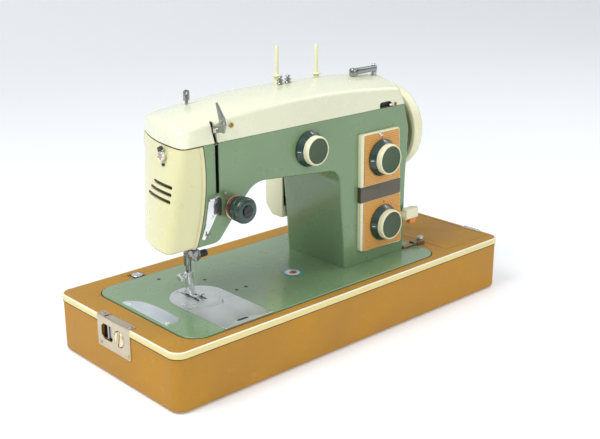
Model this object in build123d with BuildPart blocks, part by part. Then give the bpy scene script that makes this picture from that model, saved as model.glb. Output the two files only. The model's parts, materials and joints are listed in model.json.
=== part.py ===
from build123d import *
import os
from math import atan2, cos, degrees, hypot, radians, sin, sqrt

os.makedirs("parts", exist_ok=True)

# All sizes are in millimetres. +X runs along the bed from the needle to the handwheel, +Y runs
# away from the operator, +Z is up. The origin is the middle of the case base, on the table.

# ---------------------------------------------------------------- driving dimensions
CASE_LENGTH, CASE_DEPTH, CASE_TOP = 505, 218.5, 66.5
CASE_CORNER = 14
CASE_WALL, CASE_FLOOR, DECK_THICK = 7, 5, 5
FOOT_HEIGHT = 1.5
TRIM_THICK, TRIM_HEIGHT = 1, 7

BED_LENGTH, BED_DEPTH, BED_TOP = 371, 178, 67.5
BED_X, BED_Y = -36.9, -6.5
BED_CORNER, BED_THICK, BED_RIM, BED_RIM_LOW = 22, 5, 5, 52
BED_GAP = 1

HEAD_FRONT, HEAD_BACK = -57, 43.5
HEAD_LOW, PARTING, PARTING_GAP = 143.5, 247.4, 0.4
CAST_WALL = 4.5
NOSE_LOW, NOSE_HIGH = -219.5, -197.5
NOSE_SWEEP_LOW, NOSE_SWEEP_HIGH = 105, 180
NOSE_CORNER, NOSE_BACK_CORNER = 8, 10

SHAFT_Y, SHAFT_Z, SHAFT_R = -6.5, 210, 6
WHEEL_R, WHEEL_LEFT, WHEEL_RIGHT = 52, 140, 165
LOWER_Y, LOWER_Z, LOWER_R = 14, 24, 5
HOOK_Z = 41

NEEDLE_X, NEEDLE_Y = -150.5, -6.5
PRESSER_Y = 5
BAR_R = 3
RUNNING = 0.05

PLATE_LOW, PLATE_TOP = 66.8, 67.8
PLATE_LEFT, PLATE_RIGHT, PLATE_BACK, PLATE_FRONT = -181, -117, 22.5, -95.4
PLATE_JOINT, TONGUE_FRONT = -33, -41

HINGE_Y, HINGE_Z, HINGE_PIN_R = 92, 63.5, 1.75
HINGE_XS = (-160, 94)

PANEL_THICK = 5
ARM_DIAL = (-31, 220.3)
PANEL_DIALS = ((79, 192), (83.5, 112.7))

BOTTOM = (Align.CENTER, Align.CENTER, Align.MIN)


# ---------------------------------------------------------------- shared shapes
def rod(start, axis, radius, length, mode=Mode.ADD):
    """A round bar from start along axis."""
    with Locations(Plane(origin=start, z_dir=axis)):
        Cylinder(radius, length, align=BOTTOM, mode=mode)


def block(xs, ys, zs, mode=Mode.ADD):
    """A box between pairs of coordinates."""
    middle = [(a + b) / 2 for a, b in (xs, ys, zs)]
    with Locations(tuple(middle)):
        Box(xs[1] - xs[0], ys[1] - ys[0], zs[1] - zs[0], mode=mode)


def rounded_slab(middle, size, radius, low, high, mode=Mode.ADD):
    """A plate with rounded upright corners."""
    with BuildSketch(Plane.XY.offset(low)) as outline:
        with Locations(middle):
            RectangleRounded(size[0], size[1], radius)
    extrude(outline.sketch, amount=high - low, mode=mode)


def front_plate(points, near, far, mode=Mode.ADD):
    """A plate cut to an outline seen from the operator's side, from y = near back to y = far."""
    with BuildSketch(Plane.XZ.offset(-near)) as outline:
        with BuildLine():
            Polyline(*points, close=True)
        make_face()
    extrude(outline.sketch, amount=near - far, mode=mode)


def side_plate(points, left, right, mode=Mode.ADD):
    """A plate cut to an outline in the Y-Z plane, from x = left to x = right."""
    with BuildSketch(Plane.YZ.offset(left)) as outline:
        with BuildLine():
            Polyline(*points, close=True)
        make_face()
    extrude(outline.sketch, amount=right - left, mode=mode)


def polar(middle, radius, angle):
    """The point at an angle in degrees on a circle."""
    return middle[0] + radius * cos(radians(angle)), middle[1] + radius * sin(radians(angle))


def nose_outline(nose, sweep, inset, right):
    """The head seen from above: a blunt end that sweeps round to the back of the arm."""
    front, back = HEAD_FRONT + inset, HEAD_BACK - inset
    corner = (nose + NOSE_CORNER, HEAD_FRONT + NOSE_CORNER)
    side = (nose + sweep, corner[1])
    rise = HEAD_BACK - NOSE_BACK_CORNER - side[1]
    reach = sweep - NOSE_BACK_CORNER
    rear = (side[0] - sqrt(reach**2 - rise**2), HEAD_BACK - NOSE_BACK_CORNER)
    turn = 180 - degrees(atan2(rise, side[0] - rear[0]))
    with BuildLine() as outline:
        Line((right, front), (corner[0], front))
        r = NOSE_CORNER - inset
        ThreePointArc(polar(corner, r, 270), polar(corner, r, 225), polar(corner, r, 180))
        r = sweep - inset
        ThreePointArc(polar(side, r, 180), polar(side, r, (180 + turn) / 2), polar(side, r, turn))
        r = NOSE_BACK_CORNER - inset
        ThreePointArc(polar(rear, r, turn), polar(rear, r, (90 + turn) / 2), polar(rear, r, 90))
        Line((rear[0], back), (right, back))
        Line((right, back), (right, front))
    return outline.line


def nose_solid(inset, right=-150, mode=Mode.ADD):
    """The head's blunt end between the parting line and the head's bottom."""
    sections = []
    levels = ((HEAD_LOW - inset, NOSE_LOW, NOSE_SWEEP_LOW), (PARTING + inset, NOSE_HIGH, NOSE_SWEEP_HIGH))
    for level, nose, sweep in levels:
        with BuildSketch(Plane.XY.offset(level)) as section:
            add(nose_outline(nose, sweep, inset, right))
            make_face()
        sections.append(section.sketch)
    loft(sections, mode=mode)


def round_back_corner(inset):
    """Takes off what stands outside the sweep at the back of the head."""
    with BuildPart(mode=Mode.PRIVATE) as waste:
        block((-200, -120), (0, 70), (HEAD_LOW - inset, PARTING + inset))
        nose_solid(inset, -110, Mode.SUBTRACT)
    add(waste.part, mode=Mode.SUBTRACT)


def belt(left, right, upper, lower, thick):
    """A flat belt round two wheels, each given as (y, z, radius)."""
    for grow, mode in ((thick, Mode.ADD), (0, Mode.SUBTRACT)):
        (y1, z1, r1), (y2, z2, r2) = upper, lower
        r1, r2 = r1 + grow, r2 + grow
        span = hypot(y2 - y1, z2 - z1)
        along = degrees(atan2(z2 - z1, y2 - y1))
        spread = degrees(atan2(sqrt(span**2 - (r1 - r2) ** 2), r1 - r2))
        with BuildSketch(Plane.YZ.offset(left)) as loop:
            with Locations((y1, z1)):
                Circle(r1)
            with Locations((y2, z2)):
                Circle(r2)
            with BuildLine():
                Polyline(
                    polar((y1, z1), r1, along + spread),
                    polar((y2, z2), r2, along + spread),
                    polar((y2, z2), r2, along - spread),
                    polar((y1, z1), r1, along - spread),
                    close=True,
                )
            make_face()
        extrude(loop.sketch, amount=right - left, mode=mode)


# ---------------------------------------------------------------- case base
WALLS_LENGTH, WALLS_DEPTH = CASE_LENGTH - 2 * TRIM_THICK, CASE_DEPTH - 2 * TRIM_THICK
WALL_OUT_X, WALL_OUT_Y = WALLS_LENGTH / 2, WALLS_DEPTH / 2
WALL_IN_X, WALL_IN_Y = WALL_OUT_X - CASE_WALL, WALL_OUT_Y - CASE_WALL
DECK_LOW = CASE_TOP - DECK_THICK
LOCK_YS, LOCK_LOW = (-31, 29), 36
LOCK_CAM = (-11, 50)
LID_XS, LID_YS = (166.5, 245), (-92.5, 92.5)
LID_LOW, LID_PIN_X, LID_PIN_Z, LID_PIN_R = 63.5, 243.5, 65, 0.8
LATCH = (158.5, -57)
CATCH_YS = (-65, 65)
POST_TOP = BED_RIM_LOW - 0.3
BED_XS = (BED_X - BED_LENGTH / 2, BED_X + BED_LENGTH / 2)
BED_YS = (BED_Y - BED_DEPTH / 2, BED_Y + BED_DEPTH / 2)

with BuildPart() as floor_board:
    rounded_slab(
        (0, 0), (WALLS_LENGTH, WALLS_DEPTH), CASE_CORNER - TRIM_THICK, FOOT_HEIGHT, FOOT_HEIGHT + CASE_FLOOR
    )
    fillet(floor_board.edges().group_by(Axis.Z)[0], 3)
BOARD_LOW = FOOT_HEIGHT + CASE_FLOOR
TURN_X, TURN_Y = WALL_OUT_X - CASE_CORNER + TRIM_THICK, WALL_OUT_Y - CASE_CORNER + TRIM_THICK
boards = [floor_board.part]
# Side boards between the rounded corners, the left one with a pocket behind the lock.
for xs, ys in (
    ((-TURN_X, TURN_X), (-WALL_OUT_Y, -WALL_IN_Y)),
    ((-TURN_X, TURN_X), (WALL_IN_Y, WALL_OUT_Y)),
    ((-WALL_OUT_X, -WALL_IN_X), (-TURN_Y, TURN_Y)),
    ((WALL_IN_X, WALL_OUT_X), (-TURN_Y, TURN_Y)),
):
    with BuildPart() as board:
        block(xs, ys, (BOARD_LOW, DECK_LOW))
        block((-WALL_OUT_X - 1, -WALL_OUT_X + 5), (-22, 24), (40, 60), Mode.SUBTRACT)
    boards.append(board.part)
for x, y in ((TURN_X, TURN_Y), (-TURN_X, TURN_Y), (TURN_X, -TURN_Y), (-TURN_X, -TURN_Y)):
    with BuildPart() as corner:
        rod((x, y, BOARD_LOW), (0, 0, 1), CASE_CORNER - TRIM_THICK, DECK_LOW - BOARD_LOW)
        rod((x, y, BOARD_LOW), (0, 0, 1), CASE_CORNER - TRIM_THICK - CASE_WALL, 60, Mode.SUBTRACT)
        block(sorted((x, 2 * x)), sorted((y, 2 * y)), (BOARD_LOW, DECK_LOW), Mode.INTERSECT)
    boards.append(corner.part)
# Four posts carry the corners of the bed.
for x in (BED_XS[0] + 12, BED_XS[1] - 12):
    for y in (BED_YS[0] + 12, BED_YS[1] - 12):
        with BuildPart() as post:
            block((x - 10, x + 10), (y - 10, y + 10), (BOARD_LOW, POST_TOP))
        boards.append(post.part)

case_walls = Compound(label="case_walls", children=boards)
export_step(case_walls, "parts/case_walls.step")

with BuildPart() as case_deck:
    rounded_slab((0, 0), (WALLS_LENGTH, WALLS_DEPTH), CASE_CORNER - TRIM_THICK, DECK_LOW, CASE_TOP)
    bed_hole = (BED_LENGTH + 2 * BED_GAP, BED_DEPTH + 2 * BED_GAP)
    rounded_slab((BED_X, BED_Y), bed_hole, BED_CORNER + BED_GAP, DECK_LOW, CASE_TOP, Mode.SUBTRACT)
    block((LID_XS[0] - 0.5, LID_XS[1] + 0.3), (LID_YS[0] - 0.5, LID_YS[1] + 0.5),
          (DECK_LOW, CASE_TOP), Mode.SUBTRACT)
    for x in HINGE_XS:
        block((x - 9.6, x + 9.6), (BED_YS[1], HINGE_Y + 7), (DECK_LOW, CASE_TOP), Mode.SUBTRACT)
    for y, axis in ((LID_YS[0] - 0.5, (0, -1, 0)), (LID_YS[1] + 0.5, (0, 1, 0))):
        rod((LID_PIN_X, y, LID_PIN_Z), axis, LID_PIN_R + RUNNING, 3.2, Mode.SUBTRACT)
    rod((*LATCH, DECK_LOW), (0, 0, 1), 2.05, DECK_THICK, Mode.SUBTRACT)
case_deck.part.label = "case_deck"
export_step(case_deck.part, "parts/case_deck.step")

with BuildPart() as case_trim:
    low, high = CASE_TOP - TRIM_HEIGHT, CASE_TOP - 0.5
    rounded_slab((0, 0), (CASE_LENGTH, CASE_DEPTH), CASE_CORNER, low, high)
    rounded_slab((0, 0), (WALLS_LENGTH, WALLS_DEPTH), CASE_CORNER - TRIM_THICK, low, high, Mode.SUBTRACT)
    block((-CASE_LENGTH / 2 - 1, -CASE_LENGTH / 2 + 5), LOCK_YS, (low, high), Mode.SUBTRACT)
    for y in CATCH_YS:
        block((CASE_LENGTH / 2 - 5, CASE_LENGTH / 2 + 1), (y - 13, y + 13), (low, high), Mode.SUBTRACT)
case_trim.part.label = "case_trim"
export_step(case_trim.part, "parts/case_trim.step")

with BuildPart() as case_feet:
    with Locations((0, 0, 0)):
        with GridLocations(CASE_LENGTH - 70, CASE_DEPTH - 60, 2, 2):
            Cylinder(9, FOOT_HEIGHT, align=BOTTOM)
case_feet.part.label = "case_feet"
export_step(case_feet.part, "parts/case_feet.step")

PLATE_OUT = WALL_OUT_X + 1.2
with BuildPart() as lock_plate:
    block((-PLATE_OUT, -WALL_OUT_X), LOCK_YS, (LOCK_LOW, CASE_TOP))
    block((-PLATE_OUT, -WALL_OUT_X + 8.5), LOCK_YS, (CASE_TOP, CASE_TOP + 0.8))
    opening = [(22, 46), (22, 55), (17, 59.5), (-4, 59.5), (-11, 57), (-11, 43), (10, 43)]
    side_plate(opening, -PLATE_OUT, -WALL_OUT_X, Mode.SUBTRACT)
    rod((-PLATE_OUT, *LOCK_CAM), (1, 0, 0), 9, 1.2, Mode.SUBTRACT)
lock_plate.part.label = "lock_plate"
export_step(lock_plate.part, "parts/lock_plate.step")

with BuildPart() as lock_cam:
    rod((-PLATE_OUT, *LOCK_CAM), (1, 0, 0), 8.5, 5.9)
    block((-PLATE_OUT - 1, -PLATE_OUT + 1.2), (LOCK_CAM[0] - 1, LOCK_CAM[0] + 1),
          (LOCK_CAM[1] - 7, LOCK_CAM[1] + 7), Mode.SUBTRACT)
lock_cam.part.label = "lock_cam"
export_step(lock_cam.part, "parts/lock_cam.step")

with BuildPart() as hood_catches:
    for y in CATCH_YS:
        block((WALL_OUT_X, PLATE_OUT), (y - 13, y + 13), (40, CASE_TOP))
        block((WALL_OUT_X - 5, PLATE_OUT), (y - 13, y + 13), (CASE_TOP, CASE_TOP + 0.8))
        block((WALL_OUT_X, PLATE_OUT), (y - 6, y + 6), (48, 56), Mode.SUBTRACT)
hood_catches.part.label = "hood_catches"
export_step(hood_catches.part, "parts/hood_catches.step")

with BuildPart() as deck_fittings:
    for x in HINGE_XS:
        rod((x, HINGE_Y, 45), (0, 0, 1), 6.5, CASE_TOP - 45)
        block((x - 14, x + 14), (84, WALL_IN_Y), (45, 50))
        rod((x - 10, HINGE_Y, HINGE_Z), (1, 0, 0), HINGE_PIN_R + RUNNING, 20, Mode.SUBTRACT)
    # Slotted screw that the bed latch turns on.
    rod((*LATCH, DECK_LOW), (0, 0, 1), 2, 12)
    rod((*LATCH, DECK_LOW + 12), (0, 0, 1), 4, 2)
    block((LATCH[0] - 4, LATCH[0] + 4), (LATCH[1] - 0.5, LATCH[1] + 0.5),
          (DECK_LOW + 13, DECK_LOW + 14), Mode.SUBTRACT)
deck_fittings.part.label = "deck_fittings"
export_step(deck_fittings.part, "parts/deck_fittings.step")

TRAY_XS, TRAY_YS = (LID_XS[0] + 1, LID_XS[1] - 1), (LID_YS[0] + 0.5, LID_YS[1] - 0.5)
with BuildPart() as compartment_tray:
    block(TRAY_XS, TRAY_YS, (FOOT_HEIGHT + CASE_FLOOR, LID_LOW - 0.3))
    inner_xs = (TRAY_XS[0] + 2, TRAY_XS[1] - 2)
    inner_ys = (TRAY_YS[0] + 2, TRAY_YS[1] - 2)
    block(inner_xs, inner_ys, (FOOT_HEIGHT + CASE_FLOOR + 2, LID_LOW), Mode.SUBTRACT)
compartment_tray.part.label = "compartment_tray"
export_step(compartment_tray.part, "parts/compartment_tray.step")

with BuildPart() as compartment_lid:
    block(LID_XS, LID_YS, (LID_LOW, CASE_TOP))
    fillet(compartment_lid.edges().filter_by(Axis.Y).group_by(Axis.X)[-1], 1.4)
    for y, axis in ((LID_YS[0], (0, -1, 0)), (LID_YS[1], (0, 1, 0))):
        rod((LID_PIN_X, y, LID_PIN_Z), axis, LID_PIN_R, 3)
    rod((LID_XS[0] + 10, 0, CASE_TOP - 1.2), (0, 0, 1), 9, 2, Mode.SUBTRACT)
compartment_lid.part.label = "compartment_lid"
export_step(compartment_lid.part, "parts/compartment_lid.step")

with BuildPart() as bed_latch:
    low, high = CASE_TOP + 0.3, DECK_LOW + 11.7
    rod((*LATCH, low), (0, 0, 1), 5.5, high - low)
    block((BED_XS[1] + 1.4, LATCH[0]), (LATCH[1] - 4.5, LATCH[1] + 4.5), (low, high - 0.6))
    rod((*LATCH, low), (0, 0, 1), 2.08, high - low, Mode.SUBTRACT)
bed_latch.part.label = "bed_latch"
export_step(bed_latch.part, "parts/bed_latch.step")

# ---------------------------------------------------------------- bed and what lies in it
PLATE_MIDDLE = (PLATE_LEFT + PLATE_RIGHT) / 2
PLATE_R = (PLATE_RIGHT - PLATE_LEFT) / 2
PLATE_ARC_Y = PLATE_BACK - PLATE_R
FEED_SLOTS = ((-155.8, -19.5, 13), (NEEDLE_X, -1, 13.7), (-146.6, -20.2, 13))
PLATE_SCREWS = ((-159.3, 24.2 - 12), (-173, -14.5), (-137.9, -1.6))


def plate_outline(low, high, front, inset, mode=Mode.ADD):
    """The arch-ended field that the needle plate and slide plate fill together."""
    with BuildSketch(Plane.XY.offset(low)) as field:
        with Locations((PLATE_MIDDLE, PLATE_ARC_Y)):
            Circle(PLATE_R - inset)
        with Locations((PLATE_MIDDLE, (front + PLATE_ARC_Y) / 2)):
            Rectangle(2 * (PLATE_R - inset), PLATE_ARC_Y - front)
    extrude(field.sketch, amount=high - low, mode=mode)


def tongue(low, high, grow, mode):
    """The needle plate's blunt tongue, which reaches into the slide plate."""
    points = [(-166 - grow, PLATE_JOINT), (-160 - grow, TONGUE_FRONT - grow),
              (-141 + grow, TONGUE_FRONT - grow), (-135 + grow, PLATE_JOINT)]
    with BuildSketch(Plane.XY.offset(low)) as shape:
        with BuildLine():
            Polyline(*points, close=True)
        make_face()
    extrude(shape.sketch, amount=high - low, mode=mode)


with BuildPart() as bed_casting:
    under = BED_TOP - BED_THICK
    rounded_slab((BED_X, BED_Y), (BED_LENGTH, BED_DEPTH), BED_CORNER, BED_RIM_LOW, BED_TOP)
    fillet(bed_casting.edges().group_by(Axis.Z)[-1], 1.2)
    inner = (BED_LENGTH - 2 * BED_RIM, BED_DEPTH - 2 * BED_RIM)
    rounded_slab((BED_X, BED_Y), inner, BED_CORNER - BED_RIM, BED_RIM_LOW, under, Mode.SUBTRACT)
    plate_outline(PLATE_LOW - 0.1, BED_TOP + 1, BED_YS[0] - 1, -0.15, Mode.SUBTRACT)
    # Hook opening under the plates, and the way up into the pillar.
    block((PLATE_LEFT + 6, PLATE_RIGHT - 6), (-89, 6), (BED_RIM_LOW, BED_TOP), Mode.SUBTRACT)
    block((-160, -141), (5, 15), (BED_RIM_LOW, BED_TOP), Mode.SUBTRACT)
    block((36, 118), (-45, 34), (BED_RIM_LOW, BED_TOP), Mode.SUBTRACT)
    # Lugs for the lower shaft and the hook shaft.
    for left in (-136, 58):
        block((left, left + 8), (LOWER_Y - 10, LOWER_Y + 10), (LOWER_Z - 9, under))
        rod((left, LOWER_Y, LOWER_Z), (1, 0, 0), 7.02, 8, Mode.SUBTRACT)
    block((58, 66), (LOWER_Y + 10, 40), (under - 10, under))
    block((NEEDLE_X - 8, NEEDLE_X + 8), (22, 36), (HOOK_Z - 8, under))
    rod((NEEDLE_X, 22, HOOK_Z), (0, 1, 0), 4 + RUNNING, 14, Mode.SUBTRACT)
    # Finger that holds the bobbin case still.
    block((-136, -124), (-33, -28), (57.5, under))
bed_casting.part.label = "bed_casting"
export_step(bed_casting.part, "parts/bed_casting.step")

with BuildPart() as needle_plate:
    plate_outline(PLATE_LOW, PLATE_TOP, PLATE_JOINT, 0.2)
    block((PLATE_LEFT, PLATE_RIGHT), (-60, PLATE_JOINT), (PLATE_LOW, PLATE_TOP), Mode.SUBTRACT)
    tongue(PLATE_LOW, PLATE_TOP, 0, Mode.ADD)
    for x, front, back in FEED_SLOTS:
        block((x - 1.3, x + 1.3), (front, back), (PLATE_LOW, PLATE_TOP), Mode.SUBTRACT)
    rod((NEEDLE_X, NEEDLE_Y, PLATE_LOW), (0, 0, 1), 1.2, 2, Mode.SUBTRACT)
needle_plate.part.label = "needle_plate"
export_step(needle_plate.part, "parts/needle_plate.step")

with BuildPart() as slide_plate:
    plate_outline(PLATE_LOW, PLATE_TOP, PLATE_FRONT, 0.2)
    block((PLATE_LEFT - 1, PLATE_RIGHT + 1), (PLATE_JOINT - 0.4, PLATE_BACK + 1),
          (PLATE_LOW, PLATE_TOP), Mode.SUBTRACT)
    tongue(PLATE_LOW, PLATE_TOP, 0.4, Mode.SUBTRACT)
    block((-158, -145), (-88.5, -85.5), (PLATE_TOP - 0.7, PLATE_TOP), Mode.SUBTRACT)
slide_plate.part.label = "slide_plate"
export_step(slide_plate.part, "parts/slide_plate.step")

with BuildPart() as end_cover_plate:
    with BuildSketch(Plane.XY.offset(BED_TOP)):
        with BuildLine():
            Line((-219.5, -49), (-207, -49))
            ThreePointArc((-207, -49), (-201.5, -46.5), (-199.3, -41))
            ThreePointArc((-199.3, -41), (-197.9, -8), (-200.5, 12))
            ThreePointArc((-200.5, 12), (-207, 27), (-219.5, 34))
            Line((-219.5, 34), (-219.5, -49))
        make_face()
    extrude(amount=0.8)
end_cover_plate.part.label = "end_cover_plate"
export_step(end_cover_plate.part, "parts/end_cover_plate.step")

with BuildPart() as bed_catch:
    block((BED_XS[1] - 7, BED_XS[1] - 0.4), (LATCH[1] - 4.5, LATCH[1] + 4.5), (BED_TOP, BED_TOP + 5))
    block((130, BED_XS[1] - 7), (LATCH[1] - 3, LATCH[1] + 3), (BED_TOP, BED_TOP + 2))
bed_catch.part.label = "bed_catch"
export_step(bed_catch.part, "parts/bed_catch.step")

with BuildPart() as bed_hinges:
    for x in HINGE_XS:
        block((x - 9.2, x + 9.2), (BED_YS[1], BED_YS[1] + 0.8), (56, 66))
        for side in (-9.2, 7.2):
            block((x + side, x + side + 2), (BED_YS[1], HINGE_Y + 4), (60.5, 66))
        rod((x - 8, HINGE_Y, HINGE_Z), (1, 0, 0), HINGE_PIN_R, 16)
bed_hinges.part.label = "bed_hinges"
export_step(bed_hinges.part, "parts/bed_hinges.step")

# ---------------------------------------------------------------- arm casting
SLOT_XS = (-159, -153)
LIFTER_Z = 170
TAKE_UP_PIVOT = (4, 228)
LEVER_PIVOT = (-28, 115)
TENSION = (-137.5, 178.5)
BOSS_TOP = 168
COVER_HINGE, KNUCKLE_ZS = (-168, 46.2), (186, 213)
BRACKET_ZS = (184, 192)
RIB_XS = (-130.5, -126)
# Corners of the arm seen from the front, with the radius that rounds each.
ARM_CORNERS = ((131.3, 217, 25), (127.5, 160, 60), (15.9, 187, 17), (-107, 198.5, 30),
               (-155.6, HEAD_LOW, 14))

with BuildPart() as arm_casting:
    with BuildSketch(Plane.XZ.offset(-HEAD_FRONT)) as profile:
        with BuildLine():
            Polyline((-172.5, PARTING), (122, PARTING), *[corner[:2] for corner in ARM_CORNERS[:2]],
                     (126.5, BED_TOP), (26.5, BED_TOP), *[corner[:2] for corner in ARM_CORNERS[2:]],
                     (-184, HEAD_LOW))
            ThreePointArc((-184, HEAD_LOW), (-171.3, 194.7), (-172.5, PARTING))
        make_face()
        for x, z, radius in ARM_CORNERS:
            fillet(profile.vertices().sort_by_distance((x, z))[0], radius)
    extrude(profile.sketch, amount=HEAD_FRONT - HEAD_BACK)
    for face, radius in ((0, 2.5), (-1, 7)):
        rim = arm_casting.faces().filter_by(Axis.Y).sort_by(Axis.Y)[face].edges()
        rim = rim.filter_by(lambda e: BED_TOP + 1 < e.center().Z < PARTING - 1 and e.center().X > -168)
        fillet(rim, radius)
    # Hollow inside, open at the top, at the nose and down into the bed.
    hollow = [(32, 60), (121.5, 60), (122.5, 140), (125.8, 212), (121.5, 235), (117, 246), (117, 260),
              (-190, 260), (-190, 149), (-163, 149), (-152, 157), (-120, 193), (-106, 200.5),
              (-84, 202.3), (-48, 200.7), (-12, 196.5), (10, 190), (21, 176), (24, 158)]
    with BuildPart(mode=Mode.PRIVATE) as inside:
        front_plate(hollow, HEAD_FRONT + CAST_WALL, HEAD_BACK - CAST_WALL)
        round_back_corner(CAST_WALL)
    round_back_corner(0)
    add(inside.part, mode=Mode.SUBTRACT)
    # Boss and bracket that guide the needle bar and the presser bar.
    block((-161, -141), (-20, 15), (HEAD_LOW, BOSS_TOP))
    block((RIB_XS[0], RIB_XS[1]), (HEAD_FRONT + 4, HEAD_BACK - 4), (178, 243))
    block((-160, RIB_XS[0]), (-16, 14), BRACKET_ZS)
    block((-161, -141), (13, HEAD_BACK - 4), (HEAD_LOW + 8, HEAD_LOW + 14))
    for y in (NEEDLE_Y, PRESSER_Y):
        rod((NEEDLE_X, y, HEAD_LOW - 1), (0, 0, 1), 4.5, 11, Mode.SUBTRACT)
        rod((NEEDLE_X, y, HEAD_LOW), (0, 0, 1), 3.6, 60, Mode.SUBTRACT)
        rod((NEEDLE_X, y, BRACKET_ZS[0]), (0, 0, 1), 4.5, 8, Mode.SUBTRACT)
    # Stud for the take-up lever, bores for the main shaft's bushes.
    rod((-159.5, *TAKE_UP_PIVOT), (1, 0, 0), 3, 30)
    rod((-135, SHAFT_Y, SHAFT_Z), (1, 0, 0), 9.02, 12, Mode.SUBTRACT)
    rod((110, SHAFT_Y, SHAFT_Z), (1, 0, 0), 10.02, 30, Mode.SUBTRACT)
    # Slots and holes in the front and back walls.
    block(SLOT_XS, (HEAD_FRONT - 1, HEAD_FRONT + 6), (195, PARTING + 1), Mode.SUBTRACT)
    block((115, 121), (HEAD_FRONT - 1, HEAD_FRONT + 6), (97, 124), Mode.SUBTRACT)
    for x, z in (ARM_DIAL, *PANEL_DIALS):
        rod((x, HEAD_FRONT - 1, z), (0, 1, 0), 4.1, 8, Mode.SUBTRACT)
    rod((TENSION[0], HEAD_FRONT - 1, TENSION[1]), (0, 1, 0), 4.02, 8, Mode.SUBTRACT)
    rod((NEEDLE_X, HEAD_BACK - 6, LIFTER_Z), (0, 1, 0), 4 + RUNNING, 8, Mode.SUBTRACT)
    # Hinge lugs with pins for the face cover, on the back wall.
    for z in KNUCKLE_ZS:
        block((COVER_HINGE[0], -158), (HEAD_BACK - 3, COVER_HINGE[1]), (z + 7.7, z + 14))
        rod((*COVER_HINGE, z + 7.7), (0, 0, 1), 2.2, 6.3)
        rod((*COVER_HINGE, z + 2), (0, 0, 1), 1, 12)
    # Stud that the reverse lever turns on.
    rod((112, *LEVER_PIVOT), (1, 0, 0), 2.5, 12)
arm_casting.part.label = "arm_casting"
export_step(arm_casting.part, "parts/arm_casting.step")

# ---------------------------------------------------------------- top cover
COVER_LOW = PARTING + PARTING_GAP
COVER_WALL = 2.5
COVER_RIGHT = 122
CREST_X, CREST, CROWN = -30, 275, 6
COVER_SECTIONS = (-215, -165, -115, -65, -15, 35, 85, 135)
WINDER_POST, WINDER_SPINDLE = (80, -14), (114, -14)
SPOOL_PIN_R = 2.3
SPOOL_PINS = ((-8, 20, 279), (44, 11, 276.5))
GUIDE_POSTS = ((-21, 0), (-9.5, 0))
THREAD_GUIDE = (-140, 12)


def crease(x):
    """Height of the line where the hood's side turns over to its crown."""
    fall = 13 if x < CREST_X else 18.5
    return CREST - fall * ((x - CREST_X) / 160) ** 2


def cover_solid(inset, low, mode=Mode.ADD):
    """The hood over the arm: an arched, crowned lid that closes on the parting line."""
    with BuildPart(mode=Mode.PRIVATE) as hood:
        for x in COVER_SECTIONS:
            front, back, top = HEAD_FRONT + inset, HEAD_BACK - inset, crease(x) - inset
            middle = (front + back) / 2
            with BuildSketch(Plane.YZ.offset(x)):
                with BuildLine():
                    Polyline((back - 5.5, top), (back, PARTING + 1), (back, low), (front, low),
                             (front, PARTING + 1), (front + 5.5, top))
                    ThreePointArc((front + 5.5, top), (middle, top + CROWN), (back - 5.5, top))
                make_face()
        loft()
        with BuildSketch(Plane.XY.offset(low)) as plan:
            add(nose_outline(NOSE_HIGH, NOSE_SWEEP_HIGH, inset, COVER_RIGHT - inset))
            make_face()
        extrude(plan.sketch, amount=60, mode=Mode.INTERSECT)
        nose = NOSE_HIGH + inset
        with BuildSketch(Plane.XZ.offset(70)) as end:
            with BuildLine():
                Polyline((nose + 16, 268.2 - inset), (160, 320), (160, low), (nose - 1, low),
                         (nose + 2.4, 257))
                ThreePointArc((nose + 2.4, 257), (nose + 6.3, 265.2 - inset), (nose + 16, 268.2 - inset))
            make_face()
        extrude(end.sketch, amount=-140, mode=Mode.INTERSECT)
    add(hood.part, mode=mode)


with BuildPart() as top_cover:
    cover_solid(0, COVER_LOW)
    cover_solid(COVER_WALL, COVER_LOW - 5, Mode.SUBTRACT)
    block(SLOT_XS, (HEAD_FRONT - 1, HEAD_FRONT + 12), (COVER_LOW, 268), Mode.SUBTRACT)
    block((80, 102), (HEAD_FRONT - 1, HEAD_FRONT + 6), (COVER_LOW, 254), Mode.SUBTRACT)
    rod((*WINDER_POST, 262), (0, 0, 1), 3.05, 20, Mode.SUBTRACT)
    for x, y, z in SPOOL_PINS:
        rod((x, y, 265), (0, 0, 1), 3.05, 20, Mode.SUBTRACT)
    for x, y in (*GUIDE_POSTS, THREAD_GUIDE):
        rod((x, y, 262), (0, 0, 1), 1.82, 22, Mode.SUBTRACT)
top_cover.part.label = "top_cover"
export_step(top_cover.part, "parts/top_cover.step")

with BuildPart() as spool_pins:
    for x, y, z in SPOOL_PINS:
        rod((x, y, z - 7), (0, 0, 1), 3, 9)
        with Locations((x, y, z + 1)):
            Cone(4.2, 3, 6, align=BOTTOM)
        rod((x, y, z + 7), (0, 0, 1), 6.4, 1.4)
        rod((x, y, z + 8), (0, 0, 1), SPOOL_PIN_R, 30)
        with Locations((x, y, z + 38)):
            Cone(SPOOL_PIN_R, 1.2, 3.5, align=BOTTOM)
spool_pins.part.label = "spool_pins"
export_step(spool_pins.part, "parts/spool_pins.step")

with BuildPart() as pretension_guide:
    for x, y in GUIDE_POSTS:
        rod((x, y, 274), (0, 0, 1), 1.8, 15)
        rod((x, y, 282), (0, 0, 1), 4, 1.2)
        rod((x, y, 284.6), (0, 0, 1), 4, 1.2)
        rod((x, y, 288.4), (0, 0, 1), 2.8, 1.2)
pretension_guide.part.label = "pretension_guide"
export_step(pretension_guide.part, "parts/pretension_guide.step")

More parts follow.
